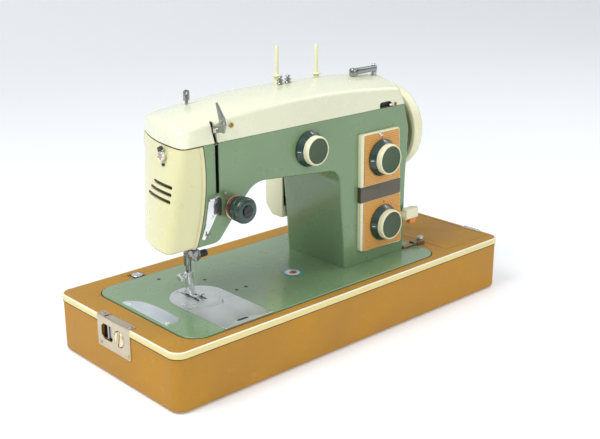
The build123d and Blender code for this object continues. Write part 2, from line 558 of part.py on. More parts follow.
with BuildPart() as thread_guides:
    rod((*THREAD_GUIDE, 270), (0, 0, 1), 1.8, 9)
    block((THREAD_GUIDE[0] - 3.4, THREAD_GUIDE[0] + 3.4), (THREAD_GUIDE[1] - 1, THREAD_GUIDE[1] + 1),
          (278, 289))
    fillet(thread_guides.edges().filter_by(Axis.Y).group_by(Axis.Z)[-1], 3)
    rod((THREAD_GUIDE[0], THREAD_GUIDE[1] - 2, 285), (0, 1, 0), 1.4, 4, Mode.SUBTRACT)
    # Hook beside the needle bar, low on the front of the head.
    rod((-171, HEAD_FRONT, 155), (0, -1, 0), 1.1, 5)
    rod((-171, HEAD_FRONT - 4.4, 153), (0, 0, 1), 1.1, 5)
thread_guides.part.label = "thread_guides"
export_step(thread_guides.part, "parts/thread_guides.step")

with BuildPart() as winder_arm:
    rod((*WINDER_POST, 266), (0, 0, 1), 3, 20)
    block((WINDER_POST[0], WINDER_SPINDLE[0]), (WINDER_POST[1] - 2.5, WINDER_POST[1] + 2.5), (280.5, 285.5))
    rod((*WINDER_SPINDLE, 280.5), (0, 0, 1), 3.6, 5)
    rod((*WINDER_SPINDLE, 280.5), (0, 0, 1), 1.5 + RUNNING, 5, Mode.SUBTRACT)
winder_arm.part.label = "winder_arm"
export_step(winder_arm.part, "parts/winder_arm.step")

with BuildPart() as winder_spindle:
    rod((*WINDER_SPINDLE, 271), (0, 0, 1), 1.5, 17)
    rod((*WINDER_SPINDLE, 271), (0, 0, 1), 5.5, 2.5)
    rod((*WINDER_SPINDLE, 286), (0, 0, 1), 2.4, 1.5)
winder_spindle.part.label = "winder_spindle"
export_step(winder_spindle.part, "parts/winder_spindle.step")

# ---------------------------------------------------------------- face cover and lamp
CATCH = (-28, 235.5)
with BuildPart() as face_cover:
    nose_solid(0)
    nose_solid(2.4, mode=Mode.SUBTRACT)
    with BuildSketch(Plane.XZ.offset(70)) as reach:
        with BuildLine():
            ThreePointArc((-184.5, HEAD_LOW), (-171.8, 194.7), (-173, PARTING))
            Polyline((-173, PARTING), (-240, PARTING), (-240, HEAD_LOW), (-184.5, HEAD_LOW))
        make_face()
    extrude(reach.sketch, amount=-140, mode=Mode.INTERSECT)
    for z in (195, 202, 209):
        block((-225, -200), (-48, -11), (z - 1.2, z + 1.2), Mode.SUBTRACT)
    rod((-210, *CATCH), (1, 0, 0), 2.6, 20, Mode.SUBTRACT)
    for z in KNUCKLE_ZS:
        with BuildSketch(Plane.XY.offset(z)) as lug:
            with BuildLine():
                Polyline((COVER_HINGE[0], 48.4), (-182, 42.3), (-180, 36.5), (-175.2, 40), (-175.2, 44),
                         (COVER_HINGE[0], 44), close=True)
            make_face()
        extrude(lug.sketch, amount=7.5)
        rod((*COVER_HINGE, z), (0, 0, 1), 2.2, 7.5)
        rod((*COVER_HINGE, z), (0, 0, 1), 1 + RUNNING, 7.5, Mode.SUBTRACT)
face_cover.part.label = "face_cover"
export_step(face_cover.part, "parts/face_cover.step")

with BuildPart() as face_catch:
    rod((-204.5, *CATCH), (1, 0, 0), 5.2, 4)
    rod((-204.5, *CATCH), (1, 0, 0), 2.5, 13)
    block((-193.8, -191.8), (CATCH[0] - 3, CATCH[0] + 3), (CATCH[1] - 2.5, CATCH[1] + 8))
face_catch.part.label = "face_catch"
export_step(face_catch.part, "parts/face_catch.step")

with BuildPart() as lamp:
    rod((-188, -15, 192), (0, 0, 1), 8, 15)
    block((-188, -156), (-16, -11.5), (192, 195))
    rod((-188, -15, 182), (0, 0, 1), 7, 10)
    with Locations((-188, -15, 176)):
        Sphere(11)
lamp.part.label = "lamp"
export_step(lamp.part, "parts/lamp.step")

# ---------------------------------------------------------------- drive
BIG_WHEEL_R, SMALL_WHEEL_R = 30, 6
MOTOR = (10, 112)
TIMING_R, TIMING_LOW_R = 14, 12
with BuildPart() as main_shaft:
    rod((-133, SHAFT_Y, SHAFT_Z), (1, 0, 0), SHAFT_R, 304)
main_shaft.part.label = "main_shaft"
export_step(main_shaft.part, "parts/main_shaft.step")

with BuildPart() as crank_disc:
    rod((-141, SHAFT_Y, SHAFT_Z), (1, 0, 0), 16, 7.95)
    rod((-146, SHAFT_Y, SHAFT_Z + 11), (1, 0, 0), 2.5, 6)
    side_plate([(SHAFT_Y + 10, SHAFT_Z - 2), (SHAFT_Y + 18, SHAFT_Z - 2), (SHAFT_Y + 18, SHAFT_Z + 18),
                (SHAFT_Y + 10, SHAFT_Z + 18)], -141, -133, Mode.SUBTRACT)
crank_disc.part.label = "crank_disc"
export_step(crank_disc.part, "parts/crank_disc.step")

with BuildPart() as shaft_wheels:
    rod((107, SHAFT_Y, SHAFT_Z), (1, 0, 0), BIG_WHEEL_R, 8)
    with Locations(Plane(origin=(111, SHAFT_Y, SHAFT_Z), z_dir=(1, 0, 0))):
        with PolarLocations(18, 5):
            Cylinder(6, 10, mode=Mode.SUBTRACT)
    rod((40, SHAFT_Y, SHAFT_Z), (1, 0, 0), TIMING_R, 10)
    rod((39, SHAFT_Y, SHAFT_Z), (1, 0, 0), SHAFT_R + 0.02, 78, Mode.SUBTRACT)
shaft_wheels.part.label = "shaft_wheels"
export_step(shaft_wheels.part, "parts/shaft_wheels.step")

with BuildPart() as handwheel:
    with BuildSketch(Plane.XY):
        with BuildLine():
            Polyline((WHEEL_LEFT, WHEEL_R - 5), (WHEEL_LEFT, WHEEL_R - 1.5), (WHEEL_LEFT + 1.5, WHEEL_R),
                     (WHEEL_LEFT + 9, WHEEL_R))
            Spline((WHEEL_LEFT + 9, WHEEL_R), (156, 46), (161.5, 36), (WHEEL_RIGHT, 20),
                   tangents=((1, 0), (0.1, -1)))
            Polyline((WHEEL_RIGHT, 20), (WHEEL_RIGHT - 2, 18), (WHEEL_RIGHT - 2, SHAFT_R + 0.02),
                     (137, SHAFT_R + 0.02), (137, 12), (150, 13.5), (157, 30), (151, 43),
                     (WHEEL_LEFT + 4, WHEEL_R - 5), (WHEEL_LEFT, WHEEL_R - 5))
        make_face()
    revolve(axis=Axis.X)
    handwheel.part.position = (0, SHAFT_Y, SHAFT_Z)
handwheel.part.label = "handwheel"
export_step(handwheel.part, "parts/handwheel.step")

with BuildPart() as clutch_knob:
    rod((166.3, SHAFT_Y, SHAFT_Z), (1, 0, 0), 15, 9)
    fillet(clutch_knob.edges().group_by(Axis.X)[-1], 3)
    rod((175.3, SHAFT_Y, SHAFT_Z), (-1, 0, 0), 9, 1.5, Mode.SUBTRACT)
    rod((166, SHAFT_Y, SHAFT_Z), (1, 0, 0), SHAFT_R + RUNNING, 5.3, Mode.SUBTRACT)
clutch_knob.part.label = "clutch_knob"
export_step(clutch_knob.part, "parts/clutch_knob.step")

with BuildPart() as bushes:
    for left, length, outer in ((-131.5, 7, 9), (118.5, 17.5, 10)):
        rod((left, SHAFT_Y, SHAFT_Z), (1, 0, 0), outer, length)
        rod((left, SHAFT_Y, SHAFT_Z), (1, 0, 0), SHAFT_R + RUNNING, length, Mode.SUBTRACT)
    for left in (-137, 57):
        rod((left, LOWER_Y, LOWER_Z), (1, 0, 0), 7, 10)
        rod((left, LOWER_Y, LOWER_Z), (1, 0, 0), LOWER_R + RUNNING, 10, Mode.SUBTRACT)
    for y in (NEEDLE_Y, PRESSER_Y):
        for low, length in ((HEAD_LOW - 1, 10.9), (BRACKET_ZS[0], 7.9)):
            rod((NEEDLE_X, y, low), (0, 0, 1), 4.48, length)
            rod((NEEDLE_X, y, low), (0, 0, 1), BAR_R + RUNNING, length, Mode.SUBTRACT)
bushes.part.label = "bushes"
export_step(bushes.part, "parts/bushes.step")

with BuildPart() as timing_belt:
    belt(41.5, 48.5, (SHAFT_Y, SHAFT_Z, TIMING_R + 0.3), (LOWER_Y, LOWER_Z, TIMING_LOW_R + 0.3), 1.8)
timing_belt.part.label = "timing_belt"
export_step(timing_belt.part, "parts/timing_belt.step")

with BuildPart() as motor_belt:
    belt(108, 114, (SHAFT_Y, SHAFT_Z, BIG_WHEEL_R + 0.3), (*MOTOR, SMALL_WHEEL_R + 0.3), 2)
motor_belt.part.label = "motor_belt"
export_step(motor_belt.part, "parts/motor_belt.step")

with BuildPart() as lower_shaft:
    rod((-158, LOWER_Y, LOWER_Z), (1, 0, 0), LOWER_R, 215)
    rod((-157, LOWER_Y, LOWER_Z), (1, 0, 0), 9.3, 13)
    rod((40, LOWER_Y, LOWER_Z), (1, 0, 0), TIMING_LOW_R, 10)
lower_shaft.part.label = "lower_shaft"
export_step(lower_shaft.part, "parts/lower_shaft.step")

with BuildPart() as rotary_hook:
    rod((NEEDLE_X, -34, HOOK_Z), (0, 1, 0), 15.5, 24)
    rod((NEEDLE_X, -35, HOOK_Z), (0, 1, 0), 13, 21, Mode.SUBTRACT)
    rod((NEEDLE_X, -12, HOOK_Z), (0, 1, 0), 4, 49)
    rod((NEEDLE_X, 9, HOOK_Z), (0, 1, 0), 7.2, 11)
rotary_hook.part.label = "rotary_hook"
export_step(rotary_hook.part, "parts/rotary_hook.step")

with BuildPart() as bobbin_case:
    rod((NEEDLE_X, -36, HOOK_Z), (0, 1, 0), 12.5, 21)
    rod((NEEDLE_X, -37, HOOK_Z), (0, 1, 0), 11, 19.5, Mode.SUBTRACT)
    rod((NEEDLE_X, -36, HOOK_Z), (0, 1, 0), 3, 20)
    block((NEEDLE_X + 11.5, -128), (-36, -34.6), (HOOK_Z - 2, HOOK_Z + 2))
    block((-131, -128), (-36, -33.1), (HOOK_Z - 2, 62.5))
bobbin_case.part.label = "bobbin_case"
export_step(bobbin_case.part, "parts/bobbin_case.step")

with BuildPart() as bobbin:
    rod((NEEDLE_X, -35, HOOK_Z), (0, 1, 0), 10.5, 1)
    rod((NEEDLE_X, -34.5, HOOK_Z), (0, 1, 0), 8, 15)
    rod((NEEDLE_X, -20, HOOK_Z), (0, 1, 0), 10.5, 1)
    rod((NEEDLE_X, -36, HOOK_Z), (0, 1, 0), 3 + RUNNING, 20, Mode.SUBTRACT)
bobbin.part.label = "bobbin"
export_step(bobbin.part, "parts/bobbin.step")

with BuildPart() as motor_housing:
    rod((60, *MOTOR), (1, 0, 0), 25, 44)
    fillet(motor_housing.edges(), 3)
    rod((63, *MOTOR), (1, 0, 0), 22, 38, Mode.SUBTRACT)
    rod((59, *MOTOR), (1, 0, 0), 3 + RUNNING, 50, Mode.SUBTRACT)
    block((70, 94), (MOTOR[0] + 23.5, HEAD_BACK - CAST_WALL), (MOTOR[1] - 14, MOTOR[1] + 14))
motor_housing.part.label = "motor_housing"
export_step(motor_housing.part, "parts/motor_housing.step")

with BuildPart() as motor_rotor:
    rod((56, *MOTOR), (1, 0, 0), 3, 60)
    rod((66, *MOTOR), (1, 0, 0), 18, 30)
    rod((107, *MOTOR), (1, 0, 0), SMALL_WHEEL_R, 8)
motor_rotor.part.label = "motor_rotor"
export_step(motor_rotor.part, "parts/motor_rotor.step")

with BuildPart() as rear_cover:
    side_plate([(HEAD_BACK + 0.1, 107), (62, 107), (74, 119), (74, 190), (HEAD_BACK + 0.1, 190)], 19.5, 112)
    fillet(rear_cover.edges().filter_by(Axis.X).sort_by(Axis.Y)[-2:], 5)
    block((22, 109.5), (HEAD_BACK, 71), (121, 187.5), Mode.SUBTRACT)
rear_cover.part.label = "rear_cover"
export_step(rear_cover.part, "parts/rear_cover.step")

with BuildPart() as power_inlet:
    block((112, 118), (50, 68), (130, 156))
    fillet(power_inlet.edges().filter_by(Axis.X), 3)
    block((114, 118), (52, 66), (132, 154), Mode.SUBTRACT)
    for z in (136.5, 143, 149.5):
        rod((114, 59, z), (1, 0, 0), 1.6, 3.5)
power_inlet.part.label = "power_inlet"
export_step(power_inlet.part, "parts/power_inlet.step")

# ---------------------------------------------------------------- needle, presser and feed
with BuildPart() as needle_bar:
    rod((NEEDLE_X, NEEDLE_Y, 114), (0, 0, 1), BAR_R, 124)
needle_bar.part.label = "needle_bar"
export_step(needle_bar.part, "parts/needle_bar.step")

with BuildPart() as needle_clamp:
    rod((NEEDLE_X, NEEDLE_Y, 109.5), (0, 0, 1), 5, 11.5)
    block((NEEDLE_X - 4.5, NEEDLE_X + 5), (-11, -2), (111, 119))
    rod((NEEDLE_X, NEEDLE_Y, 114), (0, 0, 1), BAR_R, 8, Mode.SUBTRACT)
    rod((NEEDLE_X, NEEDLE_Y, 107), (0, 0, 1), 0.75, 8, Mode.SUBTRACT)
    rod((NEEDLE_X + 4, NEEDLE_Y, 114.5), (1, 0, 0), 2, 4)
    rod((NEEDLE_X + 6.5, NEEDLE_Y, 114.5), (1, 0, 0), 3.6, 9)
needle_clamp.part.label = "needle_clamp"
export_step(needle_clamp.part, "parts/needle_clamp.step")

with BuildPart() as needle:
    rod((NEEDLE_X, NEEDLE_Y, 100), (0, 0, 1), 0.72, 13.5)
    rod((NEEDLE_X, NEEDLE_Y, 84), (0, 0, 1), 0.45, 17)
    with Locations((NEEDLE_X, NEEDLE_Y, 81)):
        Cone(0.08, 0.45, 3, align=BOTTOM)
needle.part.label = "needle"
export_step(needle.part, "parts/needle.step")

with BuildPart() as take_up_lever:
    # The blade swings on its stud and reaches out through the slot to the thread eye.
    side_plate([(6, 223.5), (8, 231), (2, 233), (-57, 266.3), (-65.5, 269.5), (-58.6, 288.4), (-60.3, 289.2),
                (-71, 275.5), (-73.5, 268), (-70.5, 259.5), (-66, 260.5), (-57, 257.8), (0, 224.6)],
               -157.5, -155.5)
    rod((-158, *TAKE_UP_PIVOT), (1, 0, 0), 5.6, 3)
    rod((-160, *TAKE_UP_PIVOT), (1, 0, 0), 3 + RUNNING, 10, Mode.SUBTRACT)
    rod((-160, -70, 270), (1, 0, 0), 1.3, 6, Mode.SUBTRACT)
take_up_lever.part.label = "take_up_lever"
export_step(take_up_lever.part, "parts/take_up_lever.step")

with BuildPart() as presser_bar:
    rod((NEEDLE_X, PRESSER_Y, 80), (0, 0, 1), BAR_R, 134)
    block((NEEDLE_X - 3, NEEDLE_X + 3), (PRESSER_Y + 2, 29), (175.2, 177.7))
    # Thread cutter behind the bar.
    block((NEEDLE_X - 1.5, NEEDLE_X + 1.5), (PRESSER_Y + 2.5, 11.5), (117, 121))
    rod((NEEDLE_X, 11, 98), (0, 0, 1), 1.4, 23)
presser_bar.part.label = "presser_bar"
export_step(presser_bar.part, "parts/presser_bar.step")

SOLE_LOW = PLATE_TOP + 0.5
with BuildPart() as presser_foot:
    block((-159.5, -141.5), (-24, 9), (SOLE_LOW, SOLE_LOW + 1.5))
    block((-152.2, NEEDLE_X + 1.7), (-30, -2.5), (SOLE_LOW, SOLE_LOW + 2), Mode.SUBTRACT)
    side_plate([(-24, SOLE_LOW), (-29, SOLE_LOW + 4.2), (-29.6, SOLE_LOW + 5.6), (-24, SOLE_LOW + 1.5)],
               -159.5, -152.2)
    side_plate([(-24, SOLE_LOW), (-29, SOLE_LOW + 4.2), (-29.6, SOLE_LOW + 5.6), (-24, SOLE_LOW + 1.5)],
               NEEDLE_X + 1.7, -141.5)
    block((-154.5, -146.5), (0.9, 9), (SOLE_LOW, 93))
    block((-156, -145), (0.9, 7), (SOLE_LOW + 1, SOLE_LOW + 7))
    rod((NEEDLE_X, PRESSER_Y, 80), (0, 0, 1), BAR_R + 0.02, 20, Mode.SUBTRACT)
    # Thumb screw that clamps the foot to the bar.
    rod((-154, PRESSER_Y, 89), (-1, 0, 0), 1.8, 5)
    rod((-158, PRESSER_Y, 89), (-1, 0, 0), 4.2, 5.5)
presser_foot.part.label = "presser_foot"
export_step(presser_foot.part, "parts/presser_foot.step")

with BuildPart() as presser_lifter:
    rod((NEEDLE_X, 31, LIFTER_Z), (0, 1, 0), 4, 13.2)
    rod((NEEDLE_X, 31, LIFTER_Z), (0, 1, 0), 4.8, 7)
    with BuildSketch(Plane.XZ.offset(-(HEAD_BACK + 0.5))) as handle:
        with Locations((NEEDLE_X, LIFTER_Z - 21)):
            SlotOverall(54, 9, rotation=90)
    extrude(handle.sketch, amount=-4)
presser_lifter.part.label = "presser_lifter"
export_step(presser_lifter.part, "parts/presser_lifter.step")

with BuildPart() as feed_dog:
    for x, front, back in FEED_SLOTS:
        block((x - 0.9, x + 0.9), (front + 3, back - 3), (59, PLATE_TOP + 0.3))
    block((-157, -145.5), (3, 20), (57.5, 60))
    for x in (FEED_SLOTS[0][0], FEED_SLOTS[2][0]):
        block((x - 1.1, x + 1.1), (-14, 4), (59, 61.5))
feed_dog.part.label = "feed_dog"
export_step(feed_dog.part, "parts/feed_dog.step")

# ---------------------------------------------------------------- controls
with BuildPart() as dial_panel:
    front_plate([(45.5, 223), (109, 223), (117, 81), (46.5, 84)], HEAD_FRONT - PANEL_THICK, HEAD_FRONT)
    edges = dial_panel.edges().filter_by(Axis.Y)
    fillet(edges, 3)
    fillet(dial_panel.faces().sort_by(Axis.Y)[0].edges(), 0.8)
    for x, z in PANEL_DIALS:
        rod((x, HEAD_FRONT + 1, z), (0, -1, 0), 4.1, PANEL_THICK + 2, Mode.SUBTRACT)
dial_panel.part.label = "dial_panel"
export_step(dial_panel.part, "parts/dial_panel.step")

DIALS = (
    ("arm_dial", ARM_DIAL, HEAD_FRONT, 19.6, 16.2),
    ("upper_dial", PANEL_DIALS[0], HEAD_FRONT - PANEL_THICK, 21.6, 17.8),
    ("lower_dial", PANEL_DIALS[1], HEAD_FRONT - PANEL_THICK, 21.6, 17.8),
)
for name, (x, z), face, skirt_r, knob_r in DIALS:
    with BuildPart() as dial:
        rod((x, face - 0.3, z), (0, -1, 0), skirt_r, 2.2)
        rod((x, face - 2.4, z), (0, -1, 0), knob_r, 13.2)
        fillet(dial.edges().group_by(Axis.Y)[0], 1.2)
        rod((x, face - 15.6, z), (0, 1, 0), knob_r - 2.8, 1, Mode.SUBTRACT)
        rod((x, face - 1, z), (0, 1, 0), 4, 18)
    dial.part.label = name
    export_step(dial.part, f"parts/{name}.step")

with BuildPart() as reverse_lever:
    pivot_y, pivot_z = LEVER_PIVOT
    rod((115.5, pivot_y, pivot_z), (1, 0, 0), 5, 5)
    block((116, 120), (-66, pivot_y), (pivot_z - 3, pivot_z + 3))
    with BuildSketch(Plane.XY.offset(pivot_z - 6)) as pad:
        with BuildLine():
            Polyline((117, -62.5), (121, -60), (136, -60), (140.5, -65), (138, -70), (117, -70), close=True)
        make_face()
    extrude(pad.sketch, amount=12)
    fillet(reverse_lever.faces().sort_by(Axis.Y)[0].edges(), 1.5)
    rod((110, pivot_y, pivot_z), (1, 0, 0), 2.5 + RUNNING, 16, Mode.SUBTRACT)
reverse_lever.part.label = "reverse_lever"
export_step(reverse_lever.part, "parts/reverse_lever.step")

with BuildPart() as tension_plate:
    front_plate([(-168, 193), (-151.5, 193), (-155, 188), (-156.6, 179), (-162, 169.2), (-172.3, 166.2)],
                HEAD_FRONT - 1.2, HEAD_FRONT)
    block((-169, -161), (HEAD_FRONT - 5, HEAD_FRONT), (190, 194))
tension_plate.part.label = "tension_plate"
export_step(tension_plate.part, "parts/tension_plate.step")

tx, tz = TENSION
with BuildPart() as tension_post:
    rod((tx, HEAD_FRONT + 7, tz), (0, -1, 0), 4, 33)
    rod((tx, HEAD_FRONT, tz), (0, -1, 0), 8, 4.5)
    for start in (HEAD_FRONT - 5.5, HEAD_FRONT - 7.5):
        rod((tx, start, tz), (0, -1, 0), 12.5, 1)
    rod((tx, HEAD_FRONT, tz), (0, -1, 0), 5, 9.4)
tension_post.part.label = "tension_post"
export_step(tension_post.part, "parts/tension_post.step")

with BuildPart() as tension_knob:
    rod((tx, HEAD_FRONT - 10, tz), (0, -1, 0), 13.3, 14)
    fillet(tension_knob.edges().group_by(Axis.Y)[0], 1.5)
    rod((tx, HEAD_FRONT - 9, tz), (0, -1, 0), 4 + RUNNING, 16, Mode.SUBTRACT)
tension_knob.part.label = "tension_knob"
export_step(tension_knob.part, "parts/tension_knob.step")

with BuildPart() as check_spring:
    rod((tx, HEAD_FRONT - 1.6, tz), (0, -1, 0), 9.6, 1.6)
    rod((tx, HEAD_FRONT - 1, tz), (0, -1, 0), 8.3, 3, Mode.SUBTRACT)
    front_plate([(tx - 7.5, tz + 5.5), (tx - 6.2, tz + 6.9), (-149.6, 196.6), (-151, 196)],
                HEAD_FRONT - 3.2, HEAD_FRONT - 1.6)
    rod((-150.3, HEAD_FRONT - 1.6, 196), (0, -1, 0), 1.2, 4)
check_spring.part.label = "check_spring"
export_step(check_spring.part, "parts/check_spring.step")
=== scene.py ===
import bmesh
import bpy
import json
from math import atan2, cos, degrees, hypot, pi, radians, sin, sqrt, tan
from mathutils import Matrix, Vector

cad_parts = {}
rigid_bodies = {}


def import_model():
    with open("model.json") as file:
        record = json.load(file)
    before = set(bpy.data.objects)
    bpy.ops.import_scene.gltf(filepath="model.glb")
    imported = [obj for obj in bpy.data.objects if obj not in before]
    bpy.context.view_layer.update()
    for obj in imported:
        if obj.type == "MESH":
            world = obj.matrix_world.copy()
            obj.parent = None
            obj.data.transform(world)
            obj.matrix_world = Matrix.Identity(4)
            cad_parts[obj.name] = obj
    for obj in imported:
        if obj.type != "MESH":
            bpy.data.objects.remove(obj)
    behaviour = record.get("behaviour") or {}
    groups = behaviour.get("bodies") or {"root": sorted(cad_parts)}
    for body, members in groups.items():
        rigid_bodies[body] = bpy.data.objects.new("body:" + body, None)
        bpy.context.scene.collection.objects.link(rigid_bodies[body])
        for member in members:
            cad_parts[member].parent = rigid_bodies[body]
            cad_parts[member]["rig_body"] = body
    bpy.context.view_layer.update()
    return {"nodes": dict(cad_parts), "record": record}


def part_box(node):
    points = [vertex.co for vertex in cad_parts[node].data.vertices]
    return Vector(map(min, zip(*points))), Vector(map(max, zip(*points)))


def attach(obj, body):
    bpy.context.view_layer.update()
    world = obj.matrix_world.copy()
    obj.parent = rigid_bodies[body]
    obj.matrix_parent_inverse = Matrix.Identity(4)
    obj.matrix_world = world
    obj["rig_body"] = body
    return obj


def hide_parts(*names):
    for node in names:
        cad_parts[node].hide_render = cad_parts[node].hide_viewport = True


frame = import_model()
nodes = frame["nodes"]
MM = 0.001
WAVES_PER_UNIT = 0.3141593  # a wave texture at scale 1 repeats every pi / 10 units


# ------------------------------------------------------------------ materials
class Paint:
    """A node material under construction."""

    def __init__(self, name, colour, rough=0.4, metal=0.0, coat=0.0, coat_rough=0.05, specular=0.5):
        self.material = bpy.data.materials.new(name)
        self.material.use_nodes = True
        self.material.diffuse_color = (*colour, 1)
        self.tree = self.material.node_tree
        self.shader = self.tree.nodes["Principled BSDF"]
        self.set("Base Color", (*colour, 1))
        self.set("Roughness", rough)
        self.set("Metallic", metal)
        self.set("Coat Weight", coat)
        self.set("Coat Roughness", coat_rough)
        self.set("Specular IOR Level", specular)
        self.colour = (*colour, 1)
        self.rough = rough
        self.place = self.node("ShaderNodeTexCoord").outputs["Object"]

    def set(self, socket, value):
        self.shader.inputs[socket].default_value = value

    def node(self, kind, **values):
        node = self.tree.nodes.new(kind)
        for key, value in values.items():
            setattr(node, key, value)
        return node

    def link(self, source, target):
        self.tree.links.new(source, target)

    def stretched(self, scale):
        mapping = self.node("ShaderNodeMapping")
        mapping.inputs["Scale"].default_value = scale
        self.link(self.place, mapping.inputs["Vector"])
        return mapping.outputs["Vector"]

    def noise(self, size, detail=3.0, where=None, roughness=0.55):
        """Noise whose features are about size metres across."""
        noise = self.node("ShaderNodeTexNoise")
        noise.inputs["Scale"].default_value = 1 / size
        noise.inputs["Detail"].default_value = detail
        noise.inputs["Roughness"].default_value = roughness
        self.link(where or self.place, noise.inputs["Vector"])
        return noise.outputs["Fac"]

    def cells(self, size):
        cells = self.node("ShaderNodeTexVoronoi", feature="F1")
        cells.inputs["Scale"].default_value = 1 / size
        self.link(self.place, cells.inputs["Vector"])
        return cells.outputs["Distance"]

    def level_waves(self, pitch):
        """Straight level ribs, one each pitch metres."""
        wave = self.node("ShaderNodeTexWave", wave_type="BANDS", bands_direction="Z", wave_profile="SIN")
        wave.inputs["Scale"].default_value = WAVES_PER_UNIT / pitch
        wave.inputs["Distortion"].default_value = 0
        self.link(self.place, wave.inputs["Vector"])
        return wave.outputs["Fac"]

    def ramp(self, value, stops):
        ramp = self.node("ShaderNodeValToRGB")
        ramp.color_ramp.elements[0].position = stops[0][0]
        ramp.color_ramp.elements[0].color = stops[0][1]
        ramp.color_ramp.elements[1].position = stops[-1][0]
        ramp.color_ramp.elements[1].color = stops[-1][1]
        for position, colour in stops[1:-1]:
            ramp.color_ramp.elements.new(position).color = colour
        self.link(value, ramp.inputs["Fac"])
        return ramp.outputs["Color"]

    def span(self, value, low, high, start=0.0, end=1.0):
        span = self.node("ShaderNodeMapRange")
        span.inputs["From Min"].default_value = start
        span.inputs["From Max"].default_value = end
        span.inputs["To Min"].default_value = low
        span.inputs["To Max"].default_value = high
        self.link(value, span.inputs["Value"])
        return span.outputs["Result"]

    def mix(self, fac, first, second, blend="MIX"):
        mix = self.node("ShaderNodeMix", data_type="RGBA", blend_type=blend)
        for socket, value in ((mix.inputs[0], fac), (mix.inputs[6], first), (mix.inputs[7], second)):
            if isinstance(value, (float, int, tuple)):
                socket.default_value = value
            else:
                self.link(value, socket)
        return mix.outputs[2]

    def paint(self, colour):
        self.link(colour, self.shader.inputs["Base Color"])

    def vary_rough(self, value, low, high):
        self.link(self.span(value, low, high, 0.3, 0.7), self.shader.inputs["Roughness"])

    def bump(self, heights, edge=0.0):
        """Relief from (height, distance in metres) pairs, over edges rounded by edge metres."""
        normal = None
        if edge:
            bevel = self.node("ShaderNodeBevel", samples=4)
            bevel.inputs["Radius"].default_value = edge
            normal = bevel.outputs["Normal"]
        for height, distance in heights:
            bump = self.node("ShaderNodeBump")
            bump.inputs["Strength"].default_value = 1
            bump.inputs["Distance"].default_value = distance
            self.link(height, bump.inputs["Height"])
            if normal:
                self.link(normal, bump.inputs["Normal"])
            normal = bump.outputs["Normal"]
        self.link(normal, self.shader.inputs["Normal"])


def shade(colour, factor):
    return (colour[0] * factor, colour[1] * factor, colour[2] * factor, 1)


def enamel(name, colour, rough=0.28, coat=0.6, mottle=0.08, peel=0.000035, specks=0):
    """Gloss paint: faint clouds, an orange-peel relief and, where specks is above 0, darker specks."""
    p = Paint(name, colour, rough, coat=coat, coat_rough=0.12)
    cloud = p.noise(0.09, 4)
    fine = p.noise(0.0012, 2)
    tone = p.ramp(cloud, ((0.3, shade(colour, 1 - mottle)), (0.7, shade(colour, 1 + mottle * 0.6))))
    chips = p.span(p.noise(0.0045, 5, roughness=0.75), 0, specks, 0.66, 0.78)
    p.paint(p.mix(chips, tone, shade(colour, 0.72)) if specks else tone)
    p.vary_rough(p.noise(0.03, 3), rough - 0.03, rough + 0.05)
    p.bump(((fine, peel * 0.8), (p.noise(0.004, 2), peel)), 0.0008)
    return p.material


def ribbed(name, colour):
    """A panel with fine level lines."""
    p = Paint(name, colour, 0.36, coat=0.2, coat_rough=0.12)
    lines = p.level_waves(0.0024)
    p.paint(p.mix(lines, shade(colour, 0.82), shade(colour, 1.1)))
    p.vary_rough(p.noise(0.03, 3), 0.32, 0.42)
    p.bump(((lines, 0.00012), (p.noise(0.004, 2), 0.00003)), 0.0004)
    return p.material


def moulded(name, colour, rough=0.35, age=0.12, coat=0.25):
    """Moulded plastic or rubber, yellowed in patches by age."""
    p = Paint(name, colour, rough, coat=coat, coat_rough=0.2)
    warm = (colour[0] * 0.97, colour[1] * 0.90, colour[2] * 0.72, 1)
    p.paint(p.mix(p.span(p.noise(0.02, 5), 0, age * 4, 0.45, 0.8), p.colour, warm))
    p.vary_rough(p.noise(0.008, 5), rough - 0.05, rough + 0.15)
    p.bump(((p.noise(0.0015, 3), 0.00002),), 0.0005)
    return p.material


def metal(name, colour, rough, drawn=None):
    """Bright metal. drawn is the stretch that gives its brushing a direction."""
    p = Paint(name, colour, rough, metal=1.0)
    grain = p.noise(0.004, 6, p.stretched(drawn) if drawn else None, roughness=0.7)
    cloud = p.noise(0.02, 4)
    p.paint(p.mix(p.span(cloud, 0, 1, 0.3, 0.75), shade(colour, 0.86), p.colour))
    p.link(p.span(p.mix(0.5, grain, cloud, "ADD"), rough, rough + 0.10, 0.5, 1.1),
           p.shader.inputs["Roughness"])
    p.bump(((grain, 0.00002 if drawn else 0.000006),), 0.0003)
    return p.material


def leatherette(name, colour, deep, scuff):
    """Coated cloth with a small pebble grain, dull in the hollows and scuffed pale here and there."""
    p = Paint(name, colour, 0.55, specular=0.35)
    pebble = p.cells(0.0008)
    crease = p.noise(0.0022, 4, roughness=0.6)
    cloud = p.noise(0.06, 5)
    tone = p.ramp(cloud, ((0.3, shade(colour, 0.88)), (0.55, (*colour, 1)), (0.75, shade(colour, 1.1))))
    tone = p.mix(p.span(pebble, 0, 0.35, 0.35, 0.8), tone, (*deep, 1))
    worn = p.span(p.noise(0.018, 8, roughness=0.7), 0, 0.5, 0.60, 0.75)
    p.paint(p.mix(worn, tone, (*scuff, 1)))
    p.vary_rough(cloud, 0.45, 0.68)
    p.bump(((pebble, 0.00007), (crease, 0.00010)), 0.0008)
    return p.material


